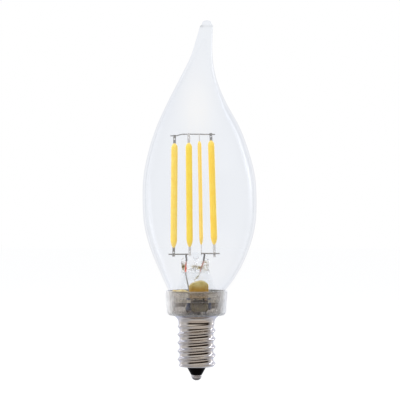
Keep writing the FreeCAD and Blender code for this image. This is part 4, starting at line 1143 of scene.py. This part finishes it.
def tape_point(angle, inset, share, lift):
    """A point of the wrapping: its share of the height at that place, with a crumple."""
    left = (TAPE_LEFT - TAPE_BULGE * between(share, 0.0, 0.6)) * inset
    right = TAPE_RIGHT * inset
    x = (left + right) / 2 + squared_off(math.cos(angle), TAPE_SQUARE) * (right - left) / 2
    y = squared_off(math.sin(angle), TAPE_SQUARE) * TAPE_DEPTH * inset
    top = float(through(TAPE_TOP, np.array([x]))[0][0])
    crumple = noise.noise(Vector((x * 0.9, y * 0.9, share * 2.5 + inset)))
    fold = noise.noise(Vector((x * 1.7, y * 1.7, share * 5.0)))
    width = 1 - 0.03 * abs(fold)
    height = top * share + (0.12 * crumple + 0.1 * fold + lift) * share
    depth = y * (1 - 0.06 * share - 0.1 * abs(crumple) - 0.06 * abs(fold))
    return (TAPE_X + x * width) * MM, (TAPE_Y + depth) * MM, (TAPE_BASE + height) * MM


def tape_mass():
    """The wrapped choke: upright sides and a crumpled, folded top."""
    around = [2 * math.pi * side / TAPE_SIDES for side in range(TAPE_SIDES)]
    rows = [[tape_point(angle, 1.0, share, -0.12) for angle in around] for share in np.linspace(0, 1, 26)]
    for inset in (0.97, 0.9, 0.8, 0.65, 0.5, 0.35, 0.2, 0.08):
        rows.append([tape_point(angle, inset, 1.0, -0.12 * inset**6) for angle in around])
    ends = [(TAPE_X * MM, TAPE_Y * MM, (TAPE_BASE + level) * MM) for level in (0, TAPE_PEAK)]
    return new_piece("tape", *skin(rows, *ends), tape_finish)


show(tape_mass(), "yellow_tape", "choke_tape")

# %% [markdown]
# ## Glue
# The bulb is cemented into the collar, and some cement has squeezed out in a low bead at the front left.
# The glue is one ring of small cross-sections that follow the glass on the inside and the plastic on the
# outside, with a wandering top and the bead's extra height. It is clear in the joint and yellow where it
# stands out in the air.

# %% Glue
BEAD_MIDDLE = math.radians(-126)
BEAD_HALF = math.radians(23)
BEAD_RISE = 0.75
BEAD_REACH = 0.5
BEAD_FOOT = 27.75
GLUE_FOOT = 25.75
GLUE_TOP = 27.5
GLUE_OUTER = 8.86
GLUE_STEPS = 240

yellow_cement = finish("yellow_cement", (222, 206, 152), (176, 146, 100), 0.8, (0.3, 0.45), 0.0, 0.5)


def glass_radius(level):
    """The bulb's outer radius at a height."""
    return float(through(BULB, np.array([max(level - NECK, 0.0)]))[0][0])


def glue_ring():
    """Cement between the bulb and the collar."""
    rows = []
    for step in range(GLUE_STEPS):
        angle = 2 * math.pi * step / GLUE_STEPS
        away = math.atan2(math.sin(angle - BEAD_MIDDLE), math.cos(angle - BEAD_MIDDLE)) / BEAD_HALF
        bead = max(0.0, 1 - away**4)
        wander = noise.noise(Vector((math.cos(angle) * 6, math.sin(angle) * 6, 1.0)))
        top = GLUE_TOP + 0.1 * wander + bead * (BEAD_RISE + 0.25 * wander)
        outer = GLUE_OUTER + bead * BEAD_REACH
        lip = 27.63 if bead > 0 else 27.45
        section = [
            (8.5, GLUE_FOOT),
            (GLUE_OUTER, GLUE_FOOT),
            (GLUE_OUTER, 27.4),
            (outer, lip),
            (outer - 0.03, (lip + top) / 2),
            (outer - 0.15, top - 0.05),
            (glass_radius(top) + 0.02, top),
            (glass_radius(27.3) + 0.02, 27.3),
        ]
        rows.append([(r * math.cos(angle) * MM, r * math.sin(angle) * MM, z * MM) for r, z in section])
    piece = new_piece("glue_ring", *skin(rows, joined=True), clear_cement, yellow_cement)
    for face in piece.data.polygons:
        piece_height = max(piece.data.vertices[corner].co.z for corner in face.vertices)
        face.material_index = int(piece_height > BEAD_FOOT * MM)
    return piece


show(glue_ring(), "glue", "neck_glue")
